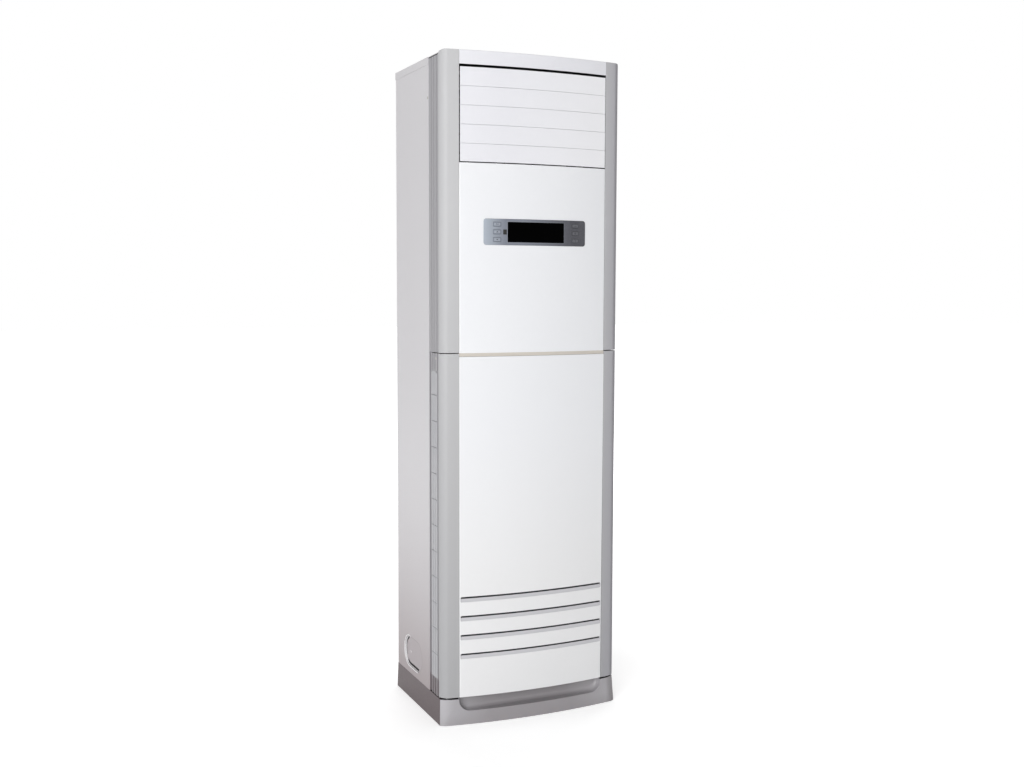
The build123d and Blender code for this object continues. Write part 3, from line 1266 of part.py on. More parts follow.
def both(piece):
    """A right-hand piece and its mirror image, as one group."""
    return Compound(children=[piece.solid(), flipped(piece).solid()])


def save(name, piece):
    """Writes one node's file."""
    export_step(piece, os.path.join("parts", name + ".step"))


def main():
    os.makedirs("parts", exist_ok=True)
    pillar = upper_pillar()
    low_pillar = lower_pillar()
    side = side_panel()
    nodes = {
        "base_pan": base_pan(),
        "plinth_front": plinth_front(),
        "side_panel_left": flipped(side),
        "side_panel_right": side,
        "back_panel": back_panel(),
        "top_cover": top_cover(),
        "pipe_knockouts": both(knockout()),
        "upper_pillar_left": flipped(pillar),
        "upper_pillar_right": pillar,
        "side_strips_upper": both(upper_strip()),
        "side_strips_lower": both(lower_strip()),
        "side_grilles": both(side_grille()),
        "outlet_header": outlet_header(),
        "upper_front_panel": upper_front_panel(),
        "seam_strip": seam_strip(),
        "display_bezel": display_bezel(),
        "display_windows": display_windows(),
        "display_board": display_board(),
        "outlet_duct": outlet_duct(),
        "louvre_motor": louvre_motor(),
        "vane_motor": vane_motor(),
        "louvre_link": louvre_link(),
        "louvre_crank": louvre_crank(),
        "vane_link": vane_link(),
        "coil_fins": coil_fins(),
        "coil_tubes": coil_tubes(),
        "coil_end_plates": coil_end_plates(),
        "drain_tray": drain_tray(),
        "drain_hose": drain_hose(),
        "refrigerant_pipes": refrigerant_pipes(),
        "fan_deck": fan_deck(),
        "electrical_box": electrical_box(),
        "electrical_cover": electrical_cover(),
        "scroll_housing": scroll_housing(),
        "inlet_partition": inlet_partition(),
        "fan_motor": fan_motor(),
        "fan_wheel": fan_wheel(),
        "fan_shaft": fan_shaft(),
        "cabinet_screws": cabinet_screws(),
        "wall_bracket": wall_bracket(),
        "lower_front_panel": lower_front_panel(),
        "lower_pillar_left": flipped(low_pillar),
        "lower_pillar_right": low_pillar,
        "filter_frame": filter_frame(),
        "filter_mesh": filter_mesh(),
    }
    for name, x, z in button_places():
        nodes[name] = button(x, z)
    for index, z in enumerate(blade_heights()):
        nodes[f"louvre_blade_{index + 1}"] = louvre_blade(z)
    for index, x in enumerate(vane_places()):
        nodes[f"vane_{index + 1}"] = vane(x)
    for name, piece in nodes.items():
        save(name, piece)


main()
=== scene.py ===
import json
import math

import bpy
from mathutils import Matrix, Vector


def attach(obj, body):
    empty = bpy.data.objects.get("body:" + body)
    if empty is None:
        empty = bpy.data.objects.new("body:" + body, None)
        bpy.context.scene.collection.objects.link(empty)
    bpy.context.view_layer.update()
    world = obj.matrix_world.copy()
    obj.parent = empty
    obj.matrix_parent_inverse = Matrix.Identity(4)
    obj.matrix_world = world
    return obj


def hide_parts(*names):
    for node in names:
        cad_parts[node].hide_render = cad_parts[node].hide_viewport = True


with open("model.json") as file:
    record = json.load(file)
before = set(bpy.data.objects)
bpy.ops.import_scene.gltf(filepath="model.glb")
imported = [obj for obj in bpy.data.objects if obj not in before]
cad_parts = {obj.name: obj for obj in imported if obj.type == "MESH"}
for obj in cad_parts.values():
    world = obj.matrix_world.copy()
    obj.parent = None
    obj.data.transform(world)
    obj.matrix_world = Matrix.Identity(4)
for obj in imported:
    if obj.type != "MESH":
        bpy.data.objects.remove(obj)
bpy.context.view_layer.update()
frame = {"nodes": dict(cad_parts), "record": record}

# The looks of a floor standing air conditioner: finishes, small parts, light and camera.
# Sizes and places are in metres: X to the right, Y to the back, Z up from the floor.
NODES = frame["nodes"]
SLOT_OF = {part["node"]: part["material_slot"] for part in frame["record"]["subparts"]}

# The bowed front is an arc about an upright axis: its radius, and where it stands proudest.
BOW_RADIUS = 1.5089
BOW_APEX = -0.1996

# Where the finishes and the new pieces find the cabinet's features.
PANEL_HALF = 0.2183                    # half width of a front panel, inside its upright edges
PANEL_CORNER = BOW_APEX + 0.0162       # Y just behind its front corners
SLOT_HALF = 0.2158                     # X just past the ends of the intake slots
SLOTS_LOW, SLOTS_HIGH = 0.15, 0.37     # heights that the intake slots lie between
BLADES_TOP = 1.785                     # Z between the top blade and the header over it
LOWEST_BLADE = 1.535                   # Z just over the foot of the lowest blade
STRIP_FACE = 0.2655                    # X just inside the face of the side strips
STRIP_FLOOR = 0.2651                   # X just outside the floor of their grooves
STRIP_TOP = 1.814                      # Z over which they are painted black as the shadow under the roof
PLINTH_TOP = 0.0715                    # Z just under the upper edge of the plinth
PLINTH_SIDE = 0.262                    # X past which a face of the plinth is its outer side
KNOCKOUT_Y = 0.0634                    # middle of the pipe knock-outs
KNOCKOUT_Z = 0.136
KNOCKOUT_RADIUS = 0.044                # of their rounded ends
KNOCKOUT_RUN = 0.033                   # half of the straight run between the ends
DISPLAY_Z = 1.3495                     # middle height of the display and the keys
KEY_PITCH = 0.0205
KEY_COLUMNS = {"left": -0.1145, "right": 0.12}
KEY_FACE, MARK_FACE = 0.0014, 0.00182  # how far a key and its mark stand out of the bow

# Where the screws sit: those at the sides, and the rows up each edge of the back.
SIDE_SCREWS = ((0.267, -0.13235, 1.009), (0.268, -0.07395, 1.711))
BACK_SCREW_X, BACK_SCREW_Y = 0.26, 0.2001
BACK_SCREW_ROWS, LOWEST_BACK_SCREW, BACK_SCREW_PITCH = 5, 0.132, 0.40675

# Distances and angles of the mesh work.
SAME_PLACE = 0.000005                  # points nearer than this are one point
SAME_HEIGHT = 0.0004                   # an edge whose ends differ by less is level
ON_FACE = 0.0003                       # a point nearer to the bow than this is on it
LONG_EDGE = 0.02                       # the panels' upright edges are longer than this
PANEL_ROUNDING = 0.0022                # width of the rounding of those edges
CRISP_ROUNDING = 0.0005                # and of the panels' other edges
FLAT_ANGLE = math.radians(0.2)         # faces that turn by less are one face
SMOOTH_ANGLE = math.radians(50)        # edges that turn by more stay sharp
EDGE_ANGLE = math.radians(38)          # edges of a carried-over piece that are rounded
CORNER_ANGLE = math.radians(40)        # edges of a new piece that are rounded

# The photograph's camera: the picture's width and the focal length in pixels, the width of
# the sensor in millimetres, the place, and the turn, the dip and the roll in degrees.
PICTURE_PIXELS = 1024
FOCAL_PIXELS = 1203.55
SENSOR_WIDTH = 36.0
CAMERA_PLACE = (-1.3899, -3.1906, 1.20544)
CAMERA_ANGLES = (23.795, 4.668, 0.181)

# The floor: its width, and how far it lies under the cabinet's foot.
FLOOR_WIDTH = 60.0
FLOOR_DROP = 0.0002

# The lamps: name, place, the point they are aimed at, width, power in watts.
LAMPS = (
    ("key_lamp", (-4.1, -4.3, 2.1), (0, 0, 1.0), 3.2, 236.0),
    ("back_lamp", (1.2, 5.4, 2.4), (0, 0, 0.95), 3.0, 120.0),
    ("right_lamp", (4.4, 4.4, 2.2), (0, 0, 0.95), 3.0, 110.0),
)


# ---- Colour and shader sums ----------------------------------------------
def tint(red, green, blue):
    """A paint colour given as on a swatch card, 0 to 255, turned to linear light."""
    swatch = []
    for value in (red, green, blue):
        share = value / 255
        swatch.append(share / 12.92 if share <= 0.04045 else ((share + 0.055) / 1.055) ** 2.4)
    return (*swatch, 1.0)


class Wire:
    """An output socket that can be used in sums."""

    def __init__(self, board, socket):
        self.board = board
        self.socket = socket

    def __add__(self, other):
        return self.board.maths("ADD", self, other)

    def __radd__(self, other):
        return self.board.maths("ADD", other, self)

    def __sub__(self, other):
        return self.board.maths("SUBTRACT", self, other)

    def __rsub__(self, other):
        return self.board.maths("SUBTRACT", other, self)

    def __mul__(self, other):
        return self.board.maths("MULTIPLY", self, other)

    def __rmul__(self, other):
        return self.board.maths("MULTIPLY", other, self)

    def __gt__(self, other):
        return self.board.maths("GREATER_THAN", self, other)

    def __lt__(self, other):
        return self.board.maths("LESS_THAN", self, other)

    def __abs__(self):
        return self.board.maths("ABSOLUTE", self)


class Board:
    """A node tree that is wired up by calls."""

    def __init__(self, tree):
        self.tree = tree
        self.tree.nodes.clear()

    def node(self, kind, settings, sockets, out=0):
        """Adds a node: its settings first, then the values or links of its sockets."""
        added = self.tree.nodes.new(kind)
        for setting, value in settings.items():
            setattr(added, setting, value)
        for socket, value in sockets.items():
            if isinstance(value, Wire):
                self.tree.links.new(value.socket, added.inputs[socket])
            else:
                added.inputs[socket].default_value = value
        return Wire(self, added.outputs[out]) if len(added.outputs) else None

    def maths(self, operation, first, second=0.0):
        return self.node("ShaderNodeMath", {"operation": operation}, {0: first, 1: second})

    def larger(self, first, second):
        return self.maths("MAXIMUM", first, second)

    def root(self, wire):
        return self.maths("SQRT", wire)

    def ray(self, name):
        return self.node("ShaderNodeLightPath", {}, {}, name)

    def span(self, wire, low, high, first=0.0, second=1.0):
        """The wire's run from low to high turned into first to second, held at both ends."""
        ends = {"From Min": low, "From Max": high, "To Min": first, "To Max": second}
        return self.node("ShaderNodeMapRange", {"clamp": True}, {"Value": wire, **ends})

    def between(self, mask, first, second):
        """A colour from the first to the second, by the mask."""
        # The Mix node's colours are its sockets 6 and 7, and their mix is its output 2.
        settings = {"data_type": "RGBA", "clamp_factor": True}
        return self.node("ShaderNodeMix", settings, {0: mask, 6: first, 7: second}, 2)


class Finish(Board):
    """One finish. Constants go on the shader's sockets, what varies is fed to them."""

    def __init__(self, name, constants):
        self.material = bpy.data.materials.new(name)
        self.material.use_nodes = True
        super().__init__(self.material.node_tree)
        self.surface = self.node("ShaderNodeBsdfPrincipled", {}, constants)
        self.shader = self.surface.socket.node
        self.node("ShaderNodeOutputMaterial", {}, {"Surface": self.surface})
        self.spot = self.node("ShaderNodeTexCoord", {}, {}, "Object")
        self.face = None

    def feed(self, socket, wire):
        self.tree.links.new(wire.socket, self.shader.inputs[socket])

    def axis(self, name):
        """The X, Y or Z of the place on the piece, in metres."""
        return self.node("ShaderNodeSeparateXYZ", {}, {0: self.spot}, name)

    def facing(self, name):
        """How far the surface itself faces along an axis, -1 to 1."""
        normal = self.node("ShaderNodeNewGeometry", {}, {}, "Normal")
        turn = {"vector_type": "NORMAL", "convert_from": "WORLD", "convert_to": "OBJECT"}
        turned = self.node("ShaderNodeVectorTransform", turn, {0: normal})
        return self.node("ShaderNodeSeparateXYZ", {}, {0: turned}, name)

    def behind_bow(self):
        """How far a place lies behind the bowed front, in metres."""
        x = self.axis("X")
        reach = self.root(BOW_RADIUS ** 2 - x * x)
        return self.axis("Y") - (BOW_APEX + BOW_RADIUS - reach)

    def grain(self, scale, detail=2.0, stretch=None):
        """Soft noise, about 0 to 1, with so many lumps to the metre."""
        place = self.spot
        if stretch:
            place = self.node("ShaderNodeMapping", {}, {"Vector": self.spot, "Scale": stretch})
        sockets = {"Vector": place, "Scale": scale, "Detail": detail}
        return self.node("ShaderNodeTexNoise", {}, sockets, "Fac")

    def paint(self, mask, colour, shade):
        """The surface's first colour, which turns to the second by the mask."""
        self.face = self.between(mask, colour, shade)

    def over(self, mask, colour):
        """Lays a colour over what is painted so far, where the mask is 1."""
        self.face = self.between(mask, self.face, colour)

    def done(self, roughness, height, depth, strength=0.4):
        """Feeds the shader its colour, its roughness where that varies, and its relief.

        The relief is depth metres where the height is 1.
        """
        self.feed("Base Color", self.face)
        if roughness is not None:
            self.feed("Roughness", roughness)
        sockets = {"Height": height, "Distance": depth, "Strength": strength}
        self.feed("Normal", self.node("ShaderNodeBump", {}, sockets, "Normal"))
        return self.material


# ---- Finishes ------------------------------------------------------------
def slot_shades(finish):
    """Brighter upwards; painted shade in each slot: grey slope, black gap, dark under its edge."""
    finish.over(finish.span(finish.axis("Z"), 0.4, 0.85), tint(244, 245, 248))
    height, depth = finish.axis("Z"), finish.behind_bow()
    among_slots = (height < SLOTS_HIGH) * (height > SLOTS_LOW)
    among_slots = among_slots * (abs(finish.axis("X")) < SLOT_HALF)
    # Painted shade: the slope under each slot turns grey.
    slope = finish.between(
        finish.span(depth, 0.0005, 0.0042), tint(204, 203, 207), tint(216, 215, 219)
    )
    finish.over(finish.span(depth, 0.0002, 0.0004) * among_slots, slope)
    # Painted shadow: the back of each slot is black.
    finish.over(finish.span(depth, 0.0039, 0.0043) * among_slots, tint(16, 15, 17))
    # Painted shade on the faces under each slot's edge.
    under = finish.span(finish.facing("Z"), -0.8, -0.95) * finish.span(depth, 0.0012, 0.0018)
    finish.over(under, tint(30, 28, 30))


def blade_shades(finish):
    """Painted light: blades brighter than the header over them; painted shade at ends and lowest
    edge.
    """
    blades = finish.axis("Z") < BLADES_TOP
    # Painted light: the blades lighter towards the right.
    finish.over(finish.span(finish.axis("X"), -0.1, 0.22) * blades, tint(252, 252, 255))
    # Painted shade at the blades' ends and along the lowest blade's edge.
    ends = finish.span(finish.facing("X"), -0.6, -0.9) * blades
    under = finish.span(finish.facing("Z"), -0.1, -0.4) * (finish.axis("Z") < LOWEST_BLADE)
    finish.over(finish.larger(ends, under), tint(58, 57, 60))


def moulded_white(name, colour, shade, kind="panel"):
    """Gloss moulding: faint flow marks, a trace of orange peel and of handling."""
    gloss = 0.32
    constants = {"Roughness": gloss, "IOR": 1.49, "Coat Weight": 0.12, "Coat Roughness": 0.14}
    finish = Finish(name, constants)
    flow = finish.span(finish.grain(2.2, 1.0, (1.0, 1.0, 0.3)), 0.3, 0.7)
    speck = finish.span(finish.grain(90.0, 2.0), 0.4, 0.75)
    finish.paint(flow * 0.6 + speck * 0.2, colour, shade)
    if kind == "slotted panel":
        slot_shades(finish)
    if kind == "blades":
        blade_shades(finish)
    else:
        # Painted highlight: the rounded upright edges of the panels turn near white.
        rounding = finish.span(abs(finish.axis("X")), SLOT_HALF, SLOT_HALF + 0.001)
        finish.over(rounding, tint(253, 254, 255))
    handled = finish.span(finish.grain(9.0, 3.0), 0.4, 0.72)
    rough = finish.span(handled, 0.0, 1.0, gloss - 0.03, gloss + 0.06)
    peel = finish.grain(420.0, 1.0) + finish.grain(1500.0, 1.0) * 0.35
    return finish.done(rough, peel, 0.00002)


def silver_pillar(name, colour, shade):
    """Silver lacquer on the corner pillars: fine flake, upright flow lines, and painted shade."""
    finish = Finish(name, {"Metallic": 0.05, "Roughness": 0.6, "IOR": 1.4})
    flow = finish.span(finish.grain(7.0, 2.0, (1.0, 1.0, 0.1)), 0.35, 0.68)
    flake = finish.grain(2600.0, 1.0)
    finish.paint(flow * 0.5 + finish.span(flake, 0.4, 0.62) * 0.3, colour, shade)
    # Painted shade: darker towards the floor, on faces turned to either side, and over the right
    # pillar.
    to_floor = finish.span(finish.axis("Z"), 1.4, 0.05)
    finish.over(to_floor * 0.75, tint(166, 166, 168))
    left_turned = finish.span(finish.facing("X"), -0.1, -0.7)
    finish.over(left_turned * 0.45, tint(172, 172, 174))
    right_pillar = finish.span(finish.axis("X"), 0.2, 0.262)
    finish.over(right_pillar * 0.65, tint(168, 166, 175))
    right_turned = finish.span(finish.facing("X"), 0.15, 0.75)
    finish.over(right_turned * 0.45, tint(112, 111, 115))
    rough = finish.span(flake, 0.35, 0.65, 0.52, 0.66)
    return finish.done(rough, flake * 0.6 + finish.grain(300.0, 1.0), 0.000015)


def satin_grey(name, colour, shade, rough=0.5, lumps=900.0):
    """Satin moulding with a fine spark-eroded grain."""
    finish = Finish(name, {"Roughness": rough, "IOR": 1.46})
    cloud = finish.span(finish.grain(7.0, 3.0), 0.35, 0.7)
    grain = finish.grain(lumps, 2.0)
    finish.paint(cloud * 0.7 + finish.span(grain, 0.4, 0.65) * 0.3, colour, shade)
    return finish.done(
        finish.span(grain, 0.35, 0.7, rough - 0.05, rough + 0.08), grain, 0.00006, 0.55
    )


def strip_moulding(name, colour, shade, groove):
    """Satin side strip: painted shade in its grooves, at its foot, and black under the roof."""
    finish = Finish(name, {"Roughness": 0.52, "IOR": 1.46})
    cloud = finish.span(finish.grain(7.0, 3.0, (1.0, 1.0, 0.2)), 0.35, 0.7)
    grain = finish.grain(1000.0, 2.0)
    finish.paint(cloud * 0.7 + finish.span(grain, 0.4, 0.65) * 0.3, colour, shade)
    # Painted shade in the grooves.
    finish.over(finish.span(abs(finish.axis("X")), STRIP_FACE, STRIP_FLOOR), groove)
    height = finish.axis("Z")
    # Painted shade towards the foot and under the grille.
    to_foot = finish.span(height, 0.4, 0.1) * 0.25
    under_grille = finish.span(height, 0.128, 0.118) * 0.55
    finish.over(to_foot + under_grille, tint(108, 98, 101))
    # Painted shadow: a black band under the roof.
    finish.over(finish.span(height, STRIP_TOP - 0.0002, STRIP_TOP + 0.0002), tint(18, 17, 18))
    return finish.done(finish.span(grain, 0.35, 0.7, 0.46, 0.6), grain, 0.00005, 0.5)


def knockout_bead(finish):
    """The pressed bead round the knock-outs: painted shade, and painted highlight at rear and
    foot.
    """
    along = finish.larger(abs(finish.axis("Y") - KNOCKOUT_Y) - KNOCKOUT_RUN, 0.0)
    above = finish.axis("Z") - KNOCKOUT_Z
    bead = finish.root(along * along + above * above) - KNOCKOUT_RADIUS
    on_side = abs(finish.axis("X")) > 0.2
    rear = finish.span(finish.axis("Y"), 0.08, 0.1)
    foot = finish.span(finish.axis("Z"), 0.118, 0.1)
    lit = finish.larger(rear, foot) * finish.span(finish.axis("Y"), 0.015, 0.03)
    pressed = finish.span(abs(bead), 0.0026, 0.0012) * on_side
    # Painted shade along the bead, less where it is lit.
    finish.over(pressed * (1 - lit) * 0.45, tint(96, 88, 90))
    # Painted highlight on the bead at its rear and its foot.
    bright = finish.span(bead, 0.0034, 0.0026) * lit * on_side
    finish.over(bright * 0.85, tint(250, 250, 251))


def powder_coat(name, colour, shade, rough=0.42, foot=None):
    """Powder coat on sheet steel: orange peel, and rolling marks of the sheet below it.

    A foot colour is for the cabinet's sides: painted shade, which darkens them towards the floor.
    """
    constants = {"Roughness": rough, "IOR": 1.5, "Coat Weight": 0.05, "Coat Roughness": 0.35}
    finish = Finish(name, constants)
    cloud = finish.span(finish.grain(2.4, 2.0, (1.0, 1.0, 0.4)), 0.3, 0.7)
    peel = finish.grain(620.0, 2.0)
    finish.paint(cloud * 0.6 + finish.span(peel, 0.42, 0.68) * 0.2, colour, shade)
    if foot:
        # Painted shade: the sides darker towards the floor.
        near_floor = finish.span(finish.axis("Z"), 0.8, 0.07)
        finish.over(near_floor * near_floor, foot)
        knockout_bead(finish)
    waves = finish.grain(5.0, 1.0, (1.0, 1.0, 0.4))
    return finish.done(
        finish.span(peel, 0.35, 0.7, rough - 0.06, rough + 0.08), peel + waves * 3.0, 0.00005
    )


def knockout_steel(name, colour, shade, rim):
    """Painted knock-out plate: painted highlight on its pressed wall, painted shade on its foot
    cut.
    """
    finish = Finish(name, {"Roughness": 0.42, "IOR": 1.5})
    peel = finish.grain(620.0, 2.0)
    finish.paint(finish.span(peel, 0.42, 0.68) * 0.3, colour, shade)
    # Painted highlight on the pressed wall, and painted shade on the cut at its foot.
    foot_cut = (abs(finish.axis("X")) < 0.2625) * (finish.axis("Z") < 0.108)
    wall = finish.between(foot_cut, rim, tint(24, 24, 25))
    finish.over(finish.span(abs(finish.facing("X")), 0.75, 0.45), wall)
    return finish.done(finish.span(peel, 0.35, 0.7, 0.36, 0.5), peel, 0.00005)


def skirt_moulding(name, front, low, side):
    """Plinth moulding: painted highlight at corners, painted shade at foot and ledges, dark sides.
    """
    constants = {"Roughness": 0.38, "IOR": 1.47, "Coat Weight": 0.1, "Coat Roughness": 0.25}
    finish = Finish(name, constants)
    across, height, depth = finish.axis("X"), finish.axis("Z"), finish.behind_bow()
    # Painted highlight: the front corners lighter than the middle.
    left = finish.span(across, -0.13, -0.26)
    right = finish.span(across, 0.12, 0.262) * 0.9
    finish.paint(finish.larger(left, right), low, front)
    # Painted shade towards the foot and at the right end.
    finish.over(finish.span(height, 0.03, 0.006) * 0.4, low)
    finish.over(finish.span(across, 0.238, 0.27), tint(122, 116, 119))
    grain = finish.grain(1100.0, 2.0)
    finish.over(finish.span(grain, 0.4, 0.7) * 0.12, low)
    # Painted shade: black on the ledges behind the front and under the pillars.
    ledge = finish.span(finish.facing("Z"), 0.6, 0.85) * finish.span(depth, 0.0014, 0.0024)
    under_pillars = (abs(across) > 0.2165) * (height > PLINTH_TOP) * (depth > 0.004)
    finish.over(finish.larger(ledge * (height > 0.065), under_pillars), tint(24, 21, 22))
    # Painted highlight on side faces inside the outline; the outer sides have their own dark
    # colour.
    sideways = finish.span(abs(finish.facing("X")), 0.86, 0.95)
    outside = abs(across) > PLINTH_SIDE
    finish.over(sideways * (1.0 - outside), front)
    finish.over(sideways * outside, side)
    return finish.done(finish.span(grain, 0.35, 0.7, 0.33, 0.46), grain, 0.00004)


def silver_bezel(name, left, middle, right):
    """Silver lacquer on the display's bezel; painted shade darkens it to the right round the bow.
    """
    constants = {"Metallic": 0.2, "Roughness": 0.36, "Coat Weight": 0.1, "Coat Roughness": 0.2}
    finish = Finish(name, constants)
    across = finish.axis("X")
    flake = finish.grain(3000.0, 1.0)
    # Painted light and shade: bright at the left, darker towards the right.
    finish.paint(finish.span(across, -0.15, -0.09), left, middle)
    finish.over(finish.span(across, -0.04, 0.11), right)
    finish.over(finish.span(flake, 0.45, 0.7) * 0.14, tint(190, 195, 203))
    # Painted shade along the upper and lower edges.
    rim = finish.span(abs(finish.facing("Z")), 0.1, 0.5)
    finish.over(rim * 0.6, tint(70, 72, 80))
    return finish.done(finish.span(flake, 0.35, 0.65, 0.3, 0.44), flake, 0.00001)


def smoked_window(name):
    """Dark display window, and the grey eye of the remote control left of it."""
    finish = Finish(name, {"Roughness": 0.16, "Specular IOR Level": 0.01, "IOR": 1.49})
    grain = finish.grain(18.0, 2.0)
    clouded = finish.span(grain, 0.3, 0.7)
    finish.paint(clouded, (0.0003, 0.0003, 0.0004, 1), (0.0006, 0.0006, 0.0007, 1))
    finish.over(finish.span(finish.axis("X"), -0.0855, -0.0865), tint(66, 66, 65))
    rough = finish.span(grain, 0.35, 0.7, 0.13, 0.2)
    return finish.done(rough, finish.grain(900.0, 1.0), 0.000004, 0.3)


def circuit_board(name):
    """Green solder mask over copper tracks, with tinned pads."""
    finish = Finish(name, {"Roughness": 0.35, "Coat Weight": 0.3})
    bricks = {
        "Vector": finish.spot, "Scale": 160.0, "Mortar Size": 0.09,
        "Color1": (1, 1, 1, 1), "Color2": (0.7, 0.7, 0.7, 1), "Mortar": (0, 0, 0, 1),
    }
    tracks = finish.node("ShaderNodeTexBrick", {"offset": 0.37, "squash": 0.7}, bricks, "Fac")
    dots = {"Vector": finish.spot, "Scale": 240.0}
    tinned = finish.node("ShaderNodeTexVoronoi", {"feature": "F1"}, dots, "Distance") < 0.22
    finish.paint(tracks, tint(20, 84, 48), tint(34, 116, 66))
    finish.over(tinned, tint(190, 190, 184))
    finish.feed("Metallic", tinned * 0.8)
    return finish.done(None, tracks * 0.6 + tinned, 0.00005, 0.5)


def galvanised_sheet(name):
    """Zinc coated sheet with its crystal spangle."""
    finish = Finish(name, {"Metallic": 0.6, "Roughness": 0.44})
    cells = {"Vector": finish.spot, "Scale": 130.0}
    spangle = finish.node("ShaderNodeTexVoronoi", {"feature": "F1"}, cells, "Color")
    lit = finish.node("ShaderNodeSeparateColor", {}, {0: spangle}, 0)
    finish.paint(lit, tint(176, 179, 183), tint(194, 197, 200))
    rough = finish.span(lit, 0.0, 1.0, 0.41, 0.48)
    return finish.done(rough, finish.grain(700.0, 2.0), 0.00003)


def bare_metal(name, colour, shade, rough, lines=(1.0, 1.0, 1.0)):
    """Bare metal with drawing marks along the way it was made and a breath of oxide."""
    finish = Finish(name, {"Metallic": 0.95, "Roughness": rough})
    marks = finish.grain(240.0, 3.0, lines)
    finish.paint(finish.span(finish.grain(26.0, 3.0), 0.38, 0.7), colour, shade)
    return finish.done(finish.span(marks, 0.3, 0.7, rough - 0.08, rough + 0.14), marks, 0.00002)


def filter_weave(name):
    """Woven filter net of warp and weft threads."""
    finish = Finish(name, {"Roughness": 0.85, "IOR": 1.45})
    threads = {"Vector": finish.spot, "Scale": 160.0}
    warp, weft = (
        finish.node("ShaderNodeTexWave", {"bands_direction": way}, threads, "Fac") for way in "XZ"
    )
    thread = finish.larger(warp, weft)
    finish.paint(finish.span(thread, 0.35, 0.8), tint(38, 40, 43), tint(122, 126, 131))
    return finish.done(None, thread, 0.0003, 0.7)


def printed_mark(name, colour, shade):
    """Screen printed ink with a slightly broken edge."""
    finish = Finish(name, {"Roughness": 0.6})
    ink = finish.grain(4000.0, 2.0)
    finish.paint(finish.span(ink, 0.4, 0.7), colour, shade)
    return finish.done(None, ink, 0.00001)


# The finish of every material slot: its name, its maker, then the maker's own choices.
FINISHES = {
    slot: make(slot, *choices)
    for slot, make, *choices in (
        ("white_plastic", moulded_white, tint(246, 247, 250), tint(242, 243, 246)),
        ("header_white", moulded_white, tint(239, 239, 244), tint(235, 235, 240), "blades"),
        ("pillar_grey", silver_pillar, tint(203, 203, 204), tint(198, 198, 200)),
        # The strip's last colour is the painted shade in its grooves.
        ("strip_grey", strip_moulding, tint(164, 163, 166), tint(158, 157, 161),
         tint(144, 142, 146)),
        ("grille_grey", satin_grey, tint(184, 184, 187), tint(177, 177, 181)),
        # The steel's last colour is the painted shade of the sides towards the floor.
        ("steel_paint", powder_coat, tint(209, 207, 210), tint(205, 203, 206), 0.42,
         tint(160, 149, 151)),
        ("pan_paint", powder_coat, tint(79, 64, 67), tint(73, 59, 62)),
        # The plinth's first colour is its painted highlight; the second also paints shade at its
        # foot.
        ("skirt_grey", skirt_moulding, tint(182, 180, 184), tint(157, 153, 156),
         tint(74, 60, 63)),
        ("beige_strip", satin_grey, tint(216, 209, 200), tint(207, 200, 191), 0.45, 700.0),
        # The bezel's colours are painted light and shade, from left to right.
        ("bezel_silver", silver_bezel, tint(173, 181, 192), tint(119, 124, 136),
         tint(63, 62, 69)),
        ("dark_window", smoked_window),
        ("board_green", circuit_board),
        ("black_plastic", satin_grey, tint(52, 53, 55), tint(42, 43, 45), 0.55),
        ("galvanised", galvanised_sheet),
        ("aluminium_fin", bare_metal, tint(214, 217, 221), tint(196, 199, 204), 0.34,
         (1, 1, 0.1)),
        ("copper_tube", bare_metal, tint(205, 135, 98), tint(158, 92, 62), 0.28),
        ("hose_white", satin_grey, tint(226, 225, 220), tint(214, 212, 206), 0.5, 500.0),
        ("filter_grey", satin_grey, tint(92, 95, 100), tint(80, 83, 88)),
        ("mesh_grey", filter_weave),
        ("zinc_screw", bare_metal, tint(196, 195, 190), tint(166, 165, 160), 0.32),
        ("shaft_steel", bare_metal, tint(198, 200, 202), tint(180, 182, 185), 0.22,
         (1, 0.05, 1)),
        ("motor_black", powder_coat, tint(58, 58, 60), tint(48, 48, 50), 0.5),
    )
}
# The lower panel's white, with the painted shade of its slots.
LOWER_WHITE = moulded_white(
    "lower_white", tint(244, 244, 245), tint(240, 240, 241), "slotted panel"
)
# Its last colour is the painted highlight on the pressed wall.
KNOCKOUT = knockout_steel(
    "knockout_steel", tint(172, 164, 167), tint(166, 158, 161), tint(252, 252, 253)
)
# Shaded and lit copies of the bezel silver: painted shade on the keys' edges, painted light on
# their pads.
KEY_EDGE_SHADED = silver_bezel("key_edge_shaded", tint(142, 149, 160), tint(98, 103, 114), tint(54, 54, 60))
KEY_PAD_LIT = silver_bezel("key_pad", tint(178, 186, 197), tint(132, 137, 149), tint(86, 86, 92))
KEY_INK = printed_mark("key_ink", tint(40, 41, 46), tint(52, 53, 58))
# The window frame: painted light at its left, darkening to the right.
FRAME_SILVER = silver_bezel(
    "window_frame", tint(170, 174, 184), tint(134, 138, 148), tint(84, 86, 93)
)
FOAM = satin_grey("seal_foam", tint(30, 30, 31), tint(20, 20, 21), 0.9, 600.0)

# Width of the small rounding that the mouldings and sheets have on their edges, by slot.
EDGES = {
    "white_plastic": 0.0009, "header_white": 0.0004, "pillar_grey": 0.0009,
    "strip_grey": 0.0003, "grille_grey": 0.0004, "steel_paint": 0.0005, "pan_paint": 0.0007,
    "skirt_grey": 0.0014, "beige_strip": 0.0004, "bezel_silver": 0.0005,
    "dark_window": 0.0003, "filter_grey": 0.0005,
}


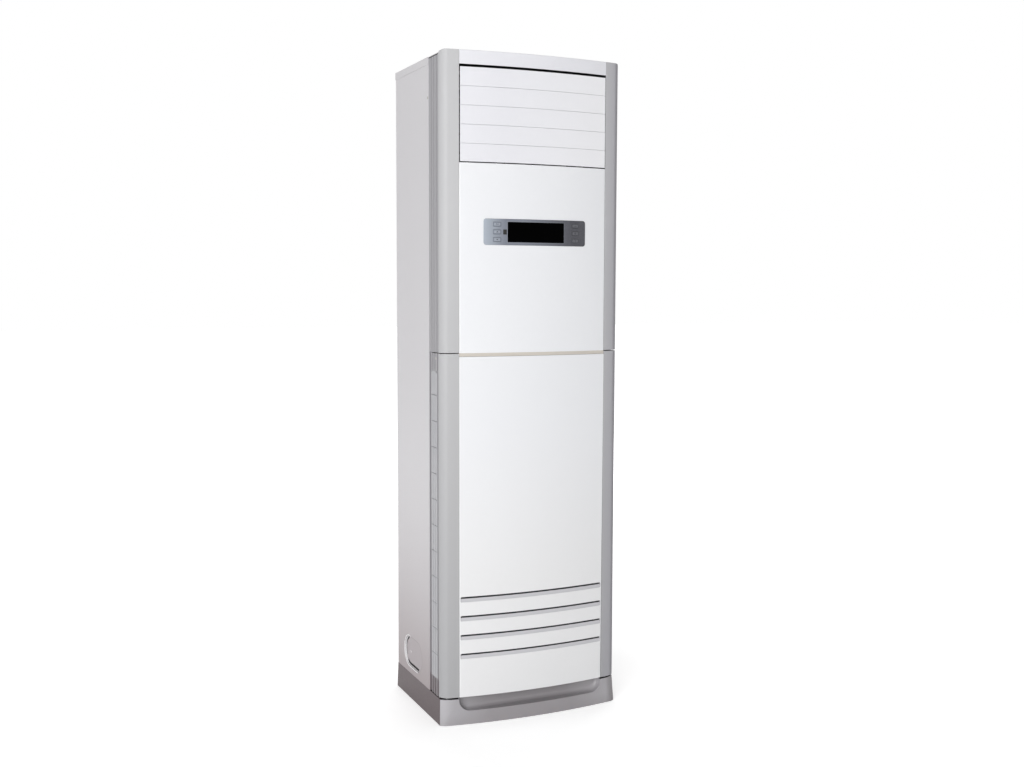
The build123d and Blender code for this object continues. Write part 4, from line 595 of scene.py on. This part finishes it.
def round_edges(piece, width):
    """Live modifiers that join a carried-over piece's triangles and round its edges."""
    weld = piece.modifiers.new("join", "WELD")
    weld.merge_threshold = SAME_PLACE
    flat = piece.modifiers.new("flats", "DECIMATE")
    flat.decimate_type = "DISSOLVE"
    flat.angle_limit = FLAT_ANGLE
    bevel = piece.modifiers.new("edge", "BEVEL")
    bevel.width = width
    bevel.segments = 2
    bevel.limit_method = "ANGLE"
    bevel.angle_limit = EDGE_ANGLE
    bevel.use_clamp_overlap = True
    bevel.face_strength_mode = "FSTR_ALL"
    even = piece.modifiers.new("even", "WEIGHTED_NORMAL")
    even.use_face_influence = True


def dress_nodes():
    """Gives every carried-over piece its finish, and the listed mouldings and sheets their
    rounding.
    """
    for name, piece in NODES.items():
        slot = SLOT_OF[name]
        if name == "pipe_knockouts":
            coating = KNOCKOUT
        elif name.startswith("button"):
            coating = KEY_EDGE_SHADED
        else:
            coating = FINISHES[slot]
        piece.data.materials.clear()
        piece.data.materials.append(coating)
        if slot in EDGES:
            round_edges(piece, EDGES[slot])


# ---- Workshop ------------------------------------------------------------
def bow_y(x):
    """Y of the bowed front at a place across it."""
    return BOW_APEX + BOW_RADIUS - math.sqrt(BOW_RADIUS ** 2 - x * x)


def on_bow(x, z, proud):
    """Takes what is made at the origin, facing -Y, to a place on the bowed front."""
    turn = Matrix.Rotation(math.asin(x / BOW_RADIUS), 4, "Z")
    return Matrix.Translation((x, bow_y(x) - proud, z)) @ turn


def clear():
    bpy.ops.object.select_all(action="DESELECT")


def take(piece):
    """Makes a piece the one that is worked on."""
    clear()
    piece.select_set(True)
    bpy.context.view_layer.objects.active = piece


def leave():
    """Ends the work on a piece's faces and edges."""
    bpy.ops.object.mode_set(mode="OBJECT")


def pick(piece, kind, test):
    """Selects, in edit mode, the faces or edges that pass a test."""
    leave()
    mesh = piece.data
    for group in (mesh.vertices, mesh.edges, mesh.polygons):
        group.foreach_set("select", [False] * len(group))
    if kind == "FACE":
        for face in mesh.polygons:
            face.select = test(face.center, face.normal)
    else:
        for edge in mesh.edges:
            edge.select = test(*(mesh.vertices[index].co for index in edge.vertices))
    bpy.context.tool_settings.mesh_select_mode = (False, kind == "EDGE", kind == "FACE")
    bpy.ops.object.mode_set(mode="EDIT")


def round_corners(piece, along, shortest, offset, segments):
    """Rounds the edges that run along x or y for more than the shortest length."""
    def long_enough(first, second):
        return abs(getattr(first, along) - getattr(second, along)) > shortest

    pick(piece, "EDGE", long_enough)
    bpy.ops.mesh.bevel(offset=offset, segments=segments, affect="EDGES")
    leave()


def settle(piece):
    """Puts a piece's place, turn and scale into its mesh."""
    take(piece)
    bpy.ops.object.transform_apply(location=True, rotation=True, scale=True)


def smooth(piece):
    """Smooth faces with the sharp edges kept, and the large faces kept flat."""
    take(piece)
    bpy.ops.object.shade_smooth_by_angle(angle=SMOOTH_ANGLE)
    even = piece.modifiers.new("even", "WEIGHTED_NORMAL")
    even.keep_sharp = True


def soften(piece, width):
    """Rounds the edges of a small piece."""
    take(piece)
    bevel = piece.modifiers.new("edge", "BEVEL")
    bevel.width = width
    bevel.segments = 2
    bevel.angle_limit = CORNER_ANGLE
    bpy.ops.object.modifier_apply(modifier="edge")
    smooth(piece)


def block(name, low, high):
    """A box from its lowest to its highest corner, which the work on it starts from."""
    clear()
    bpy.ops.mesh.primitive_cube_add(size=1, location=[(a + b) / 2 for a, b in zip(low, high)])
    piece = bpy.context.object
    piece.name = name
    piece.scale = [b - a for a, b in zip(low, high)]
    settle(piece)
    return piece


def copied(piece, name, matrix):
    """A copy of a piece with its own mesh, moved by a matrix."""
    twin = piece.copy()
    twin.data = piece.data.copy()
    twin.name = name
    twin.data.transform(matrix)
    bpy.context.scene.collection.objects.link(twin)
    return twin


def merged(pieces, name):
    """Joins pieces into one."""
    clear()
    for piece in pieces:
        piece.select_set(True)
    bpy.context.view_layer.objects.active = pieces[0]
    bpy.ops.object.join()
    joined = bpy.context.object
    joined.name = name
    return joined


def finished(piece, material, body):
    """Gives a new piece its material and the body it rides on."""
    piece.data.materials.clear()
    piece.data.materials.append(material)
    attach(piece, body)


# ---- Front panels --------------------------------------------------------
def merged_copy(node, name, material):
    """A copy of a CAD piece with its loose triangles joined into whole faces."""
    piece = NODES[node].copy()
    piece.data = NODES[node].data.copy()
    piece.name = name
    piece.modifiers.clear()
    bpy.context.scene.collection.objects.link(piece)
    take(piece)
    bpy.ops.mesh.customdata_custom_splitnormals_clear()
    bpy.ops.object.mode_set(mode="EDIT")
    bpy.ops.mesh.select_all(action="SELECT")
    bpy.ops.mesh.remove_doubles(threshold=SAME_PLACE)
    bpy.ops.mesh.dissolve_limited(angle_limit=FLAT_ANGLE)
    leave()
    piece.data.materials.clear()
    piece.data.materials.append(material)
    return piece


def upright_edge(first, second):
    """Whether an edge is one of a front panel's long upright ones, at its front."""
    outer = min(abs(first.x), abs(second.x)) > PANEL_HALF
    upright = abs(first.z - second.z) > LONG_EDGE
    return outer and upright and max(first.y, second.y) < PANEL_CORNER


def slope_foot(first, second):
    """Whether an edge is the foot of a slot's slope, where it meets the bowed face."""
    level = abs(first.z - second.z) < SAME_HEIGHT and SLOTS_LOW < first.z < SLOTS_HIGH
    return level and all(
        abs(end.y - bow_y(end.x)) < ON_FACE and abs(end.x) < SLOT_HALF for end in (first, second)
    )


def panel_skin(node, name, material, body):
    """A front panel with well rounded upright edges and crisp slots."""
    piece = merged_copy(node, name, material)
    pick(piece, "EDGE", upright_edge)
    bpy.ops.mesh.bevel(offset=PANEL_ROUNDING, segments=3, affect="EDGES", clamp_overlap=True)
    bpy.ops.mesh.select_all(action="DESELECT")
    bpy.ops.mesh.edges_select_sharp(sharpness=CORNER_ANGLE)
    bpy.ops.mesh.bevel(offset=CRISP_ROUNDING, segments=2, affect="EDGES", clamp_overlap=True)
    pick(piece, "EDGE", slope_foot)
    bpy.ops.mesh.mark_sharp()
    leave()
    smooth(piece)
    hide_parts(node)
    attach(piece, body)


# ---- Keys and display ----------------------------------------------------
MARK_BACK, MARK_FRONT = 0.00004, -0.00006   # Y of the two faces of a printed bar
MARK_THIN = 0.00005                    # an edge that runs through a mark is longer than this


def key_pad():
    """The raised, slightly dished pad in the middle of a key."""
    half_width, half_height = 0.0089, 0.0038
    pad = block("key_pad", (-half_width, -0.0005, -half_height), (half_width, 0.0002, half_height))
    round_corners(pad, along="y", shortest=0.0006, offset=0.0009, segments=4)
    pick(pad, "FACE", lambda centre, normal: normal.y < -0.9)
    bpy.ops.mesh.inset(thickness=0.0007)
    bpy.ops.transform.translate(value=(0, 0.0001, 0))
    leave()
    soften(pad, 0.00015)
    return pad


def bar(x, z, width, height):
    """One printed bar of a key's mark."""
    low = (x - width / 2, MARK_FRONT, z - height / 2)
    made = block("bar", low, (x + width / 2, MARK_BACK, z + height / 2))
    offset = min(width, height) * 0.3
    round_corners(made, along="y", shortest=MARK_THIN, offset=offset, segments=3)
    return made


def ring(x, z, radius):
    """One printed ring of a key's mark, pressed flat."""
    clear()
    bpy.ops.mesh.primitive_torus_add(
        major_segments=32, minor_segments=8, major_radius=radius, minor_radius=0.0003,
        location=(x, 0, z), rotation=(math.pi / 2, 0, 0),
    )
    made = bpy.context.object
    made.scale = (1, 1, 0.2)
    settle(made)
    return made


def arrow(z, turn):
    """One printed triangle of a key's mark, drawn out sideways."""
    size = 0.0022
    clear()
    bpy.ops.mesh.primitive_cylinder_add(
        vertices=3, radius=size, depth=0.0001, location=(0, 0, z),
        rotation=(math.pi / 2, turn, 0),
    )
    made = bpy.context.object
    made.scale = (1.5, 1, 1)
    settle(made)
    round_corners(made, along="y", shortest=MARK_THIN, offset=size * 0.15, segments=2)
    return made


def key_marks():
    """A plain mark for each key: on and off, up, down, fan steps, louvre and clock."""
    wide = 0.0014
    return {
        "left_1": [
            ring(-0.0022, 0, 0.0014), bar(-0.0022, 0.0007, 0.0007, 0.0018),
            bar(0.0024, 0, 0.004, 0.001),
        ],
        "left_2": [arrow(-0.0002, 0.0)],
        "left_3": [arrow(0.0002, math.pi)],
        "right_1": [
            bar(-0.0026, -0.0008, wide, 0.0012), bar(0, -0.0004, wide, 0.002),
            bar(0.0026, 0, wide, 0.0028),
        ],
        "right_2": [bar(0, z, 0.007, 0.0007) for z in (-0.0013, 0.0, 0.0013)],
        "right_3": [
            ring(0, 0, 0.0017), bar(0, 0.0005, 0.0006, 0.0014), bar(0.0006, 0, 0.0014, 0.0006),
        ],
    }


def dress_keys():
    """A pad and a printed mark on each key."""
    pad = key_pad()
    marks = key_marks()
    for side, x in KEY_COLUMNS.items():
        for row in (1, 2, 3):
            z = DISPLAY_Z + KEY_PITCH * (2 - row)
            here = f"{side}_{row}"
            key = f"key_{here}"
            face = copied(pad, f"pad_{here}", on_bow(x, z, KEY_FACE))
            finished(face, KEY_PAD_LIT, key)
            mark = merged(marks[here], f"mark_{here}")
            mark.data.transform(on_bow(x, z, MARK_FACE))
            finished(mark, KEY_INK, key)
    bpy.data.objects.remove(pad)


def window_frame():
    """Thin frame round the display window, bent to the bow of the front."""
    half_width, half_height, half_depth = 0.0859, 0.0287, 0.0005
    parts = 24
    rim = block(
        "window_frame", (-half_width, -half_depth, -half_height),
        (half_width, half_depth, half_height),
    )
    pick(rim, "FACE", lambda centre, normal: abs(normal.y) > 0.9)
    bpy.ops.mesh.inset(thickness=0.0014)
    bpy.ops.mesh.bridge_edge_loops()
    for part in range(1, parts):
        x = -half_width + 2 * half_width * part / parts
        bpy.ops.mesh.select_all(action="SELECT")
        bpy.ops.mesh.bisect(plane_co=(x, 0, 0), plane_no=(1, 0, 0))
    leave()
    bend = rim.modifiers.new("bow", "SIMPLE_DEFORM")
    bend.deform_method = "BEND"
    bend.deform_axis = "Z"
    bend.angle = 2 * half_width / BOW_RADIUS
    bpy.ops.object.modifier_apply(modifier="bow")
    rim.location = (0, BOW_APEX - 0.00033, DISPLAY_Z)
    settle(rim)
    soften(rim, 0.0001)
    finished(rim, FRAME_SILVER, "cabinet")


# ---- Screws and seals ----------------------------------------------------
def screw_head():
    """A pan head with a cross recess, made at the origin, its head towards -Y."""
    radius, height = 0.0035, 0.0012
    clear()
    bpy.ops.mesh.primitive_cylinder_add(
        vertices=40, radius=radius, depth=height, location=(0, height / 2, 0),
        rotation=(math.pi / 2, 0, 0),
    )
    head = bpy.context.object
    settle(head)
    pick(head, "FACE", lambda centre, normal: normal.y < -0.9)
    bpy.ops.mesh.inset(thickness=0.0007)
    bpy.ops.transform.translate(value=(0, -0.0002, 0))
    pick(head, "FACE", lambda centre, normal: normal.y > 0.9)
    bpy.ops.mesh.inset(thickness=0.0016)
    bpy.ops.mesh.extrude_region_move(TRANSFORM_OT_translate={"value": (0, 0.005, 0)})
    leave()
    wing, slit = 0.0019, 0.0004   # half length and half width of the cross recess
    for x, z in ((wing, slit), (slit, wing)):
        cutter = block("cutter", (-x, -0.001, -z), (x, 0.0007, z))
        take(head)
        cut = head.modifiers.new("recess", "BOOLEAN")
        cut.operation = "DIFFERENCE"
        cut.solver = "EXACT"
        cut.object = cutter
        bpy.ops.object.modifier_apply(modifier="recess")
        bpy.data.objects.remove(cutter)
    soften(head, 0.00015)
    return head


def screw_places():
    """Where the screws sit: two at each side, five up each edge of the back."""
    places = []
    for side in (-1, 1):
        outwards = Matrix.Rotation(side * math.pi / 2, 4, "Z")
        for x, y, z in SIDE_SCREWS:
            places.append(Matrix.Translation((side * x, y, z)) @ outwards)
        backwards = Matrix.Rotation(math.pi, 4, "Z")
        for row in range(BACK_SCREW_ROWS):
            z = LOWEST_BACK_SCREW + row * BACK_SCREW_PITCH
            back = Matrix.Translation((side * BACK_SCREW_X, BACK_SCREW_Y, z))
            driven = Matrix.Rotation(0.4 + 1.1 * row + side, 4, "Y")
            places.append(back @ backwards @ driven)
    return places


def cabinet_screws():
    """The screws at the strips, the sides and the back, as cross head screws."""
    head = screw_head()
    screws = [copied(head, "screw", place) for place in screw_places()]
    bpy.data.objects.remove(head)
    whole = merged(screws, "cross_head_screws")
    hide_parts("cabinet_screws")
    finished(whole, FINISHES["zinc_screw"], "cabinet")


def knockout_seals():
    """Black foam seals behind the knock-outs, closing their slits: a dark sheet as painted shade.
    """
    half_length, half_height, rounding = 0.075, 0.042, 0.0418
    for side, name in ((-1, "knockout_seal_left"), (1, "knockout_seal_right")):
        inner, outer = sorted((side * 0.2602, side * 0.2608))
        seal = block(
            name, (inner, KNOCKOUT_Y - half_length, KNOCKOUT_Z - half_height),
            (outer, KNOCKOUT_Y + half_length, KNOCKOUT_Z + half_height),
        )
        round_corners(seal, along="x", shortest=0.0003, offset=rounding, segments=16)
        smooth(seal)
        finished(seal, FOAM, "cabinet")


def back_liner():
    """Foam pad inside the back, behind the wall strap."""
    half_width, foot, top = 0.11, 1.715, 1.785
    liner = block("back_liner", (-half_width, 0.1952, foot), (half_width, 0.1976, top))
    round_corners(liner, along="y", shortest=0.001, offset=0.012, segments=6)
    soften(liner, 0.0005)
    finished(liner, FOAM, "cabinet")


# ---- Studio --------------------------------------------------------------
def studio_floor():
    """Pale floor that takes the cabinet's shadow and runs into the background."""
    clear()
    bpy.ops.mesh.primitive_plane_add(size=FLOOR_WIDTH, location=(0, 0, -FLOOR_DROP))
    floor = bpy.context.object
    floor.name = "studio_floor"
    paper = {"Base Color": (0.8, 0.8, 0.8, 1), "Roughness": 0.9, "Specular IOR Level": 0.0}
    finish = Finish("floor_paper", paper)
    seen = finish.larger(finish.ray("Is Camera Ray"), finish.ray("Is Glossy Ray"))
    away = finish.node("ShaderNodeVectorMath", {"operation": "LENGTH"}, {0: finish.spot}, "Value")
    strength = seen * finish.span(away, 0.5, 2.2, 0.5, 1.0)
    glow = finish.node("ShaderNodeEmission", {}, {"Color": (1, 1, 1, 1), "Strength": strength})
    both = finish.node("ShaderNodeAddShader", {}, {0: finish.surface, 1: glow})
    finish.node("ShaderNodeOutputMaterial", {"is_active_output": True}, {"Surface": both})
    floor.data.materials.append(finish.material)


def studio_world():
    """White surroundings, which light the cabinet less than they show."""
    world = bpy.data.worlds.new("studio")
    bpy.context.scene.world = world
    world.use_nodes = True
    board = Board(world.node_tree)
    seen = board.larger(board.ray("Is Camera Ray"), board.ray("Is Glossy Ray"))
    seen = board.larger(seen, board.ray("Is Transmission Ray"))
    strength = board.span(seen, 0.0, 1.0, 0.35, 1.0)
    white = {"Color": (1, 1, 1, 1), "Strength": strength}
    surroundings = board.node("ShaderNodeBackground", {}, white)
    board.node("ShaderNodeOutputWorld", {}, {"Surface": surroundings})


def studio_lamps():
    """Soft lamps, strongest from the front left. Only that one shows in reflections."""
    for name, place, target, size, power in LAMPS:
        data = bpy.data.lights.new(name, "AREA")
        data.shape = "SQUARE"
        data.size = size
        data.energy = power
        lamp = bpy.data.objects.new(name, data)
        lamp.visible_glossy = name == "key_lamp"
        aim = (Vector(target) - Vector(place)).to_track_quat("-Z", "Y")
        lamp.matrix_world = Matrix.Translation(place) @ aim.to_matrix().to_4x4()
        bpy.context.scene.collection.objects.link(lamp)


def photographer():
    """The camera, where the photograph was taken from."""
    yaw, pitch, roll = (math.radians(angle) for angle in CAMERA_ANGLES)
    ahead = math.cos(pitch)
    forward = Vector((math.sin(yaw) * ahead, math.cos(yaw) * ahead, -math.sin(pitch)))
    right = Vector((math.cos(yaw), -math.sin(yaw), 0))
    up = right.cross(forward)
    rolled_right = math.cos(roll) * right + math.sin(roll) * up
    rolled_up = math.cos(roll) * up - math.sin(roll) * right
    data = bpy.data.cameras.new("camera")
    data.sensor_width = SENSOR_WIDTH
    data.lens = SENSOR_WIDTH * FOCAL_PIXELS / PICTURE_PIXELS
    data.clip_start = 0.05
    data.clip_end = 80.0
    camera = bpy.data.objects.new("camera", data)
    turn = Matrix((rolled_right, rolled_up, -forward)).transposed().to_4x4()
    camera.matrix_world = Matrix.Translation(CAMERA_PLACE) @ turn
    bpy.context.scene.collection.objects.link(camera)
    bpy.context.scene.camera = camera


def main():
    bpy.context.scene.view_settings.view_transform = "Standard"
    clear()
    dress_nodes()
    panel_skin("upper_front_panel", "upper_panel_skin", FINISHES["white_plastic"], "cabinet")
    panel_skin("lower_front_panel", "lower_panel_skin", LOWER_WHITE, "lower_front")
    dress_keys()
    window_frame()
    cabinet_screws()
    knockout_seals()
    back_liner()
    studio_floor()
    studio_world()
    studio_lamps()
    photographer()


main()
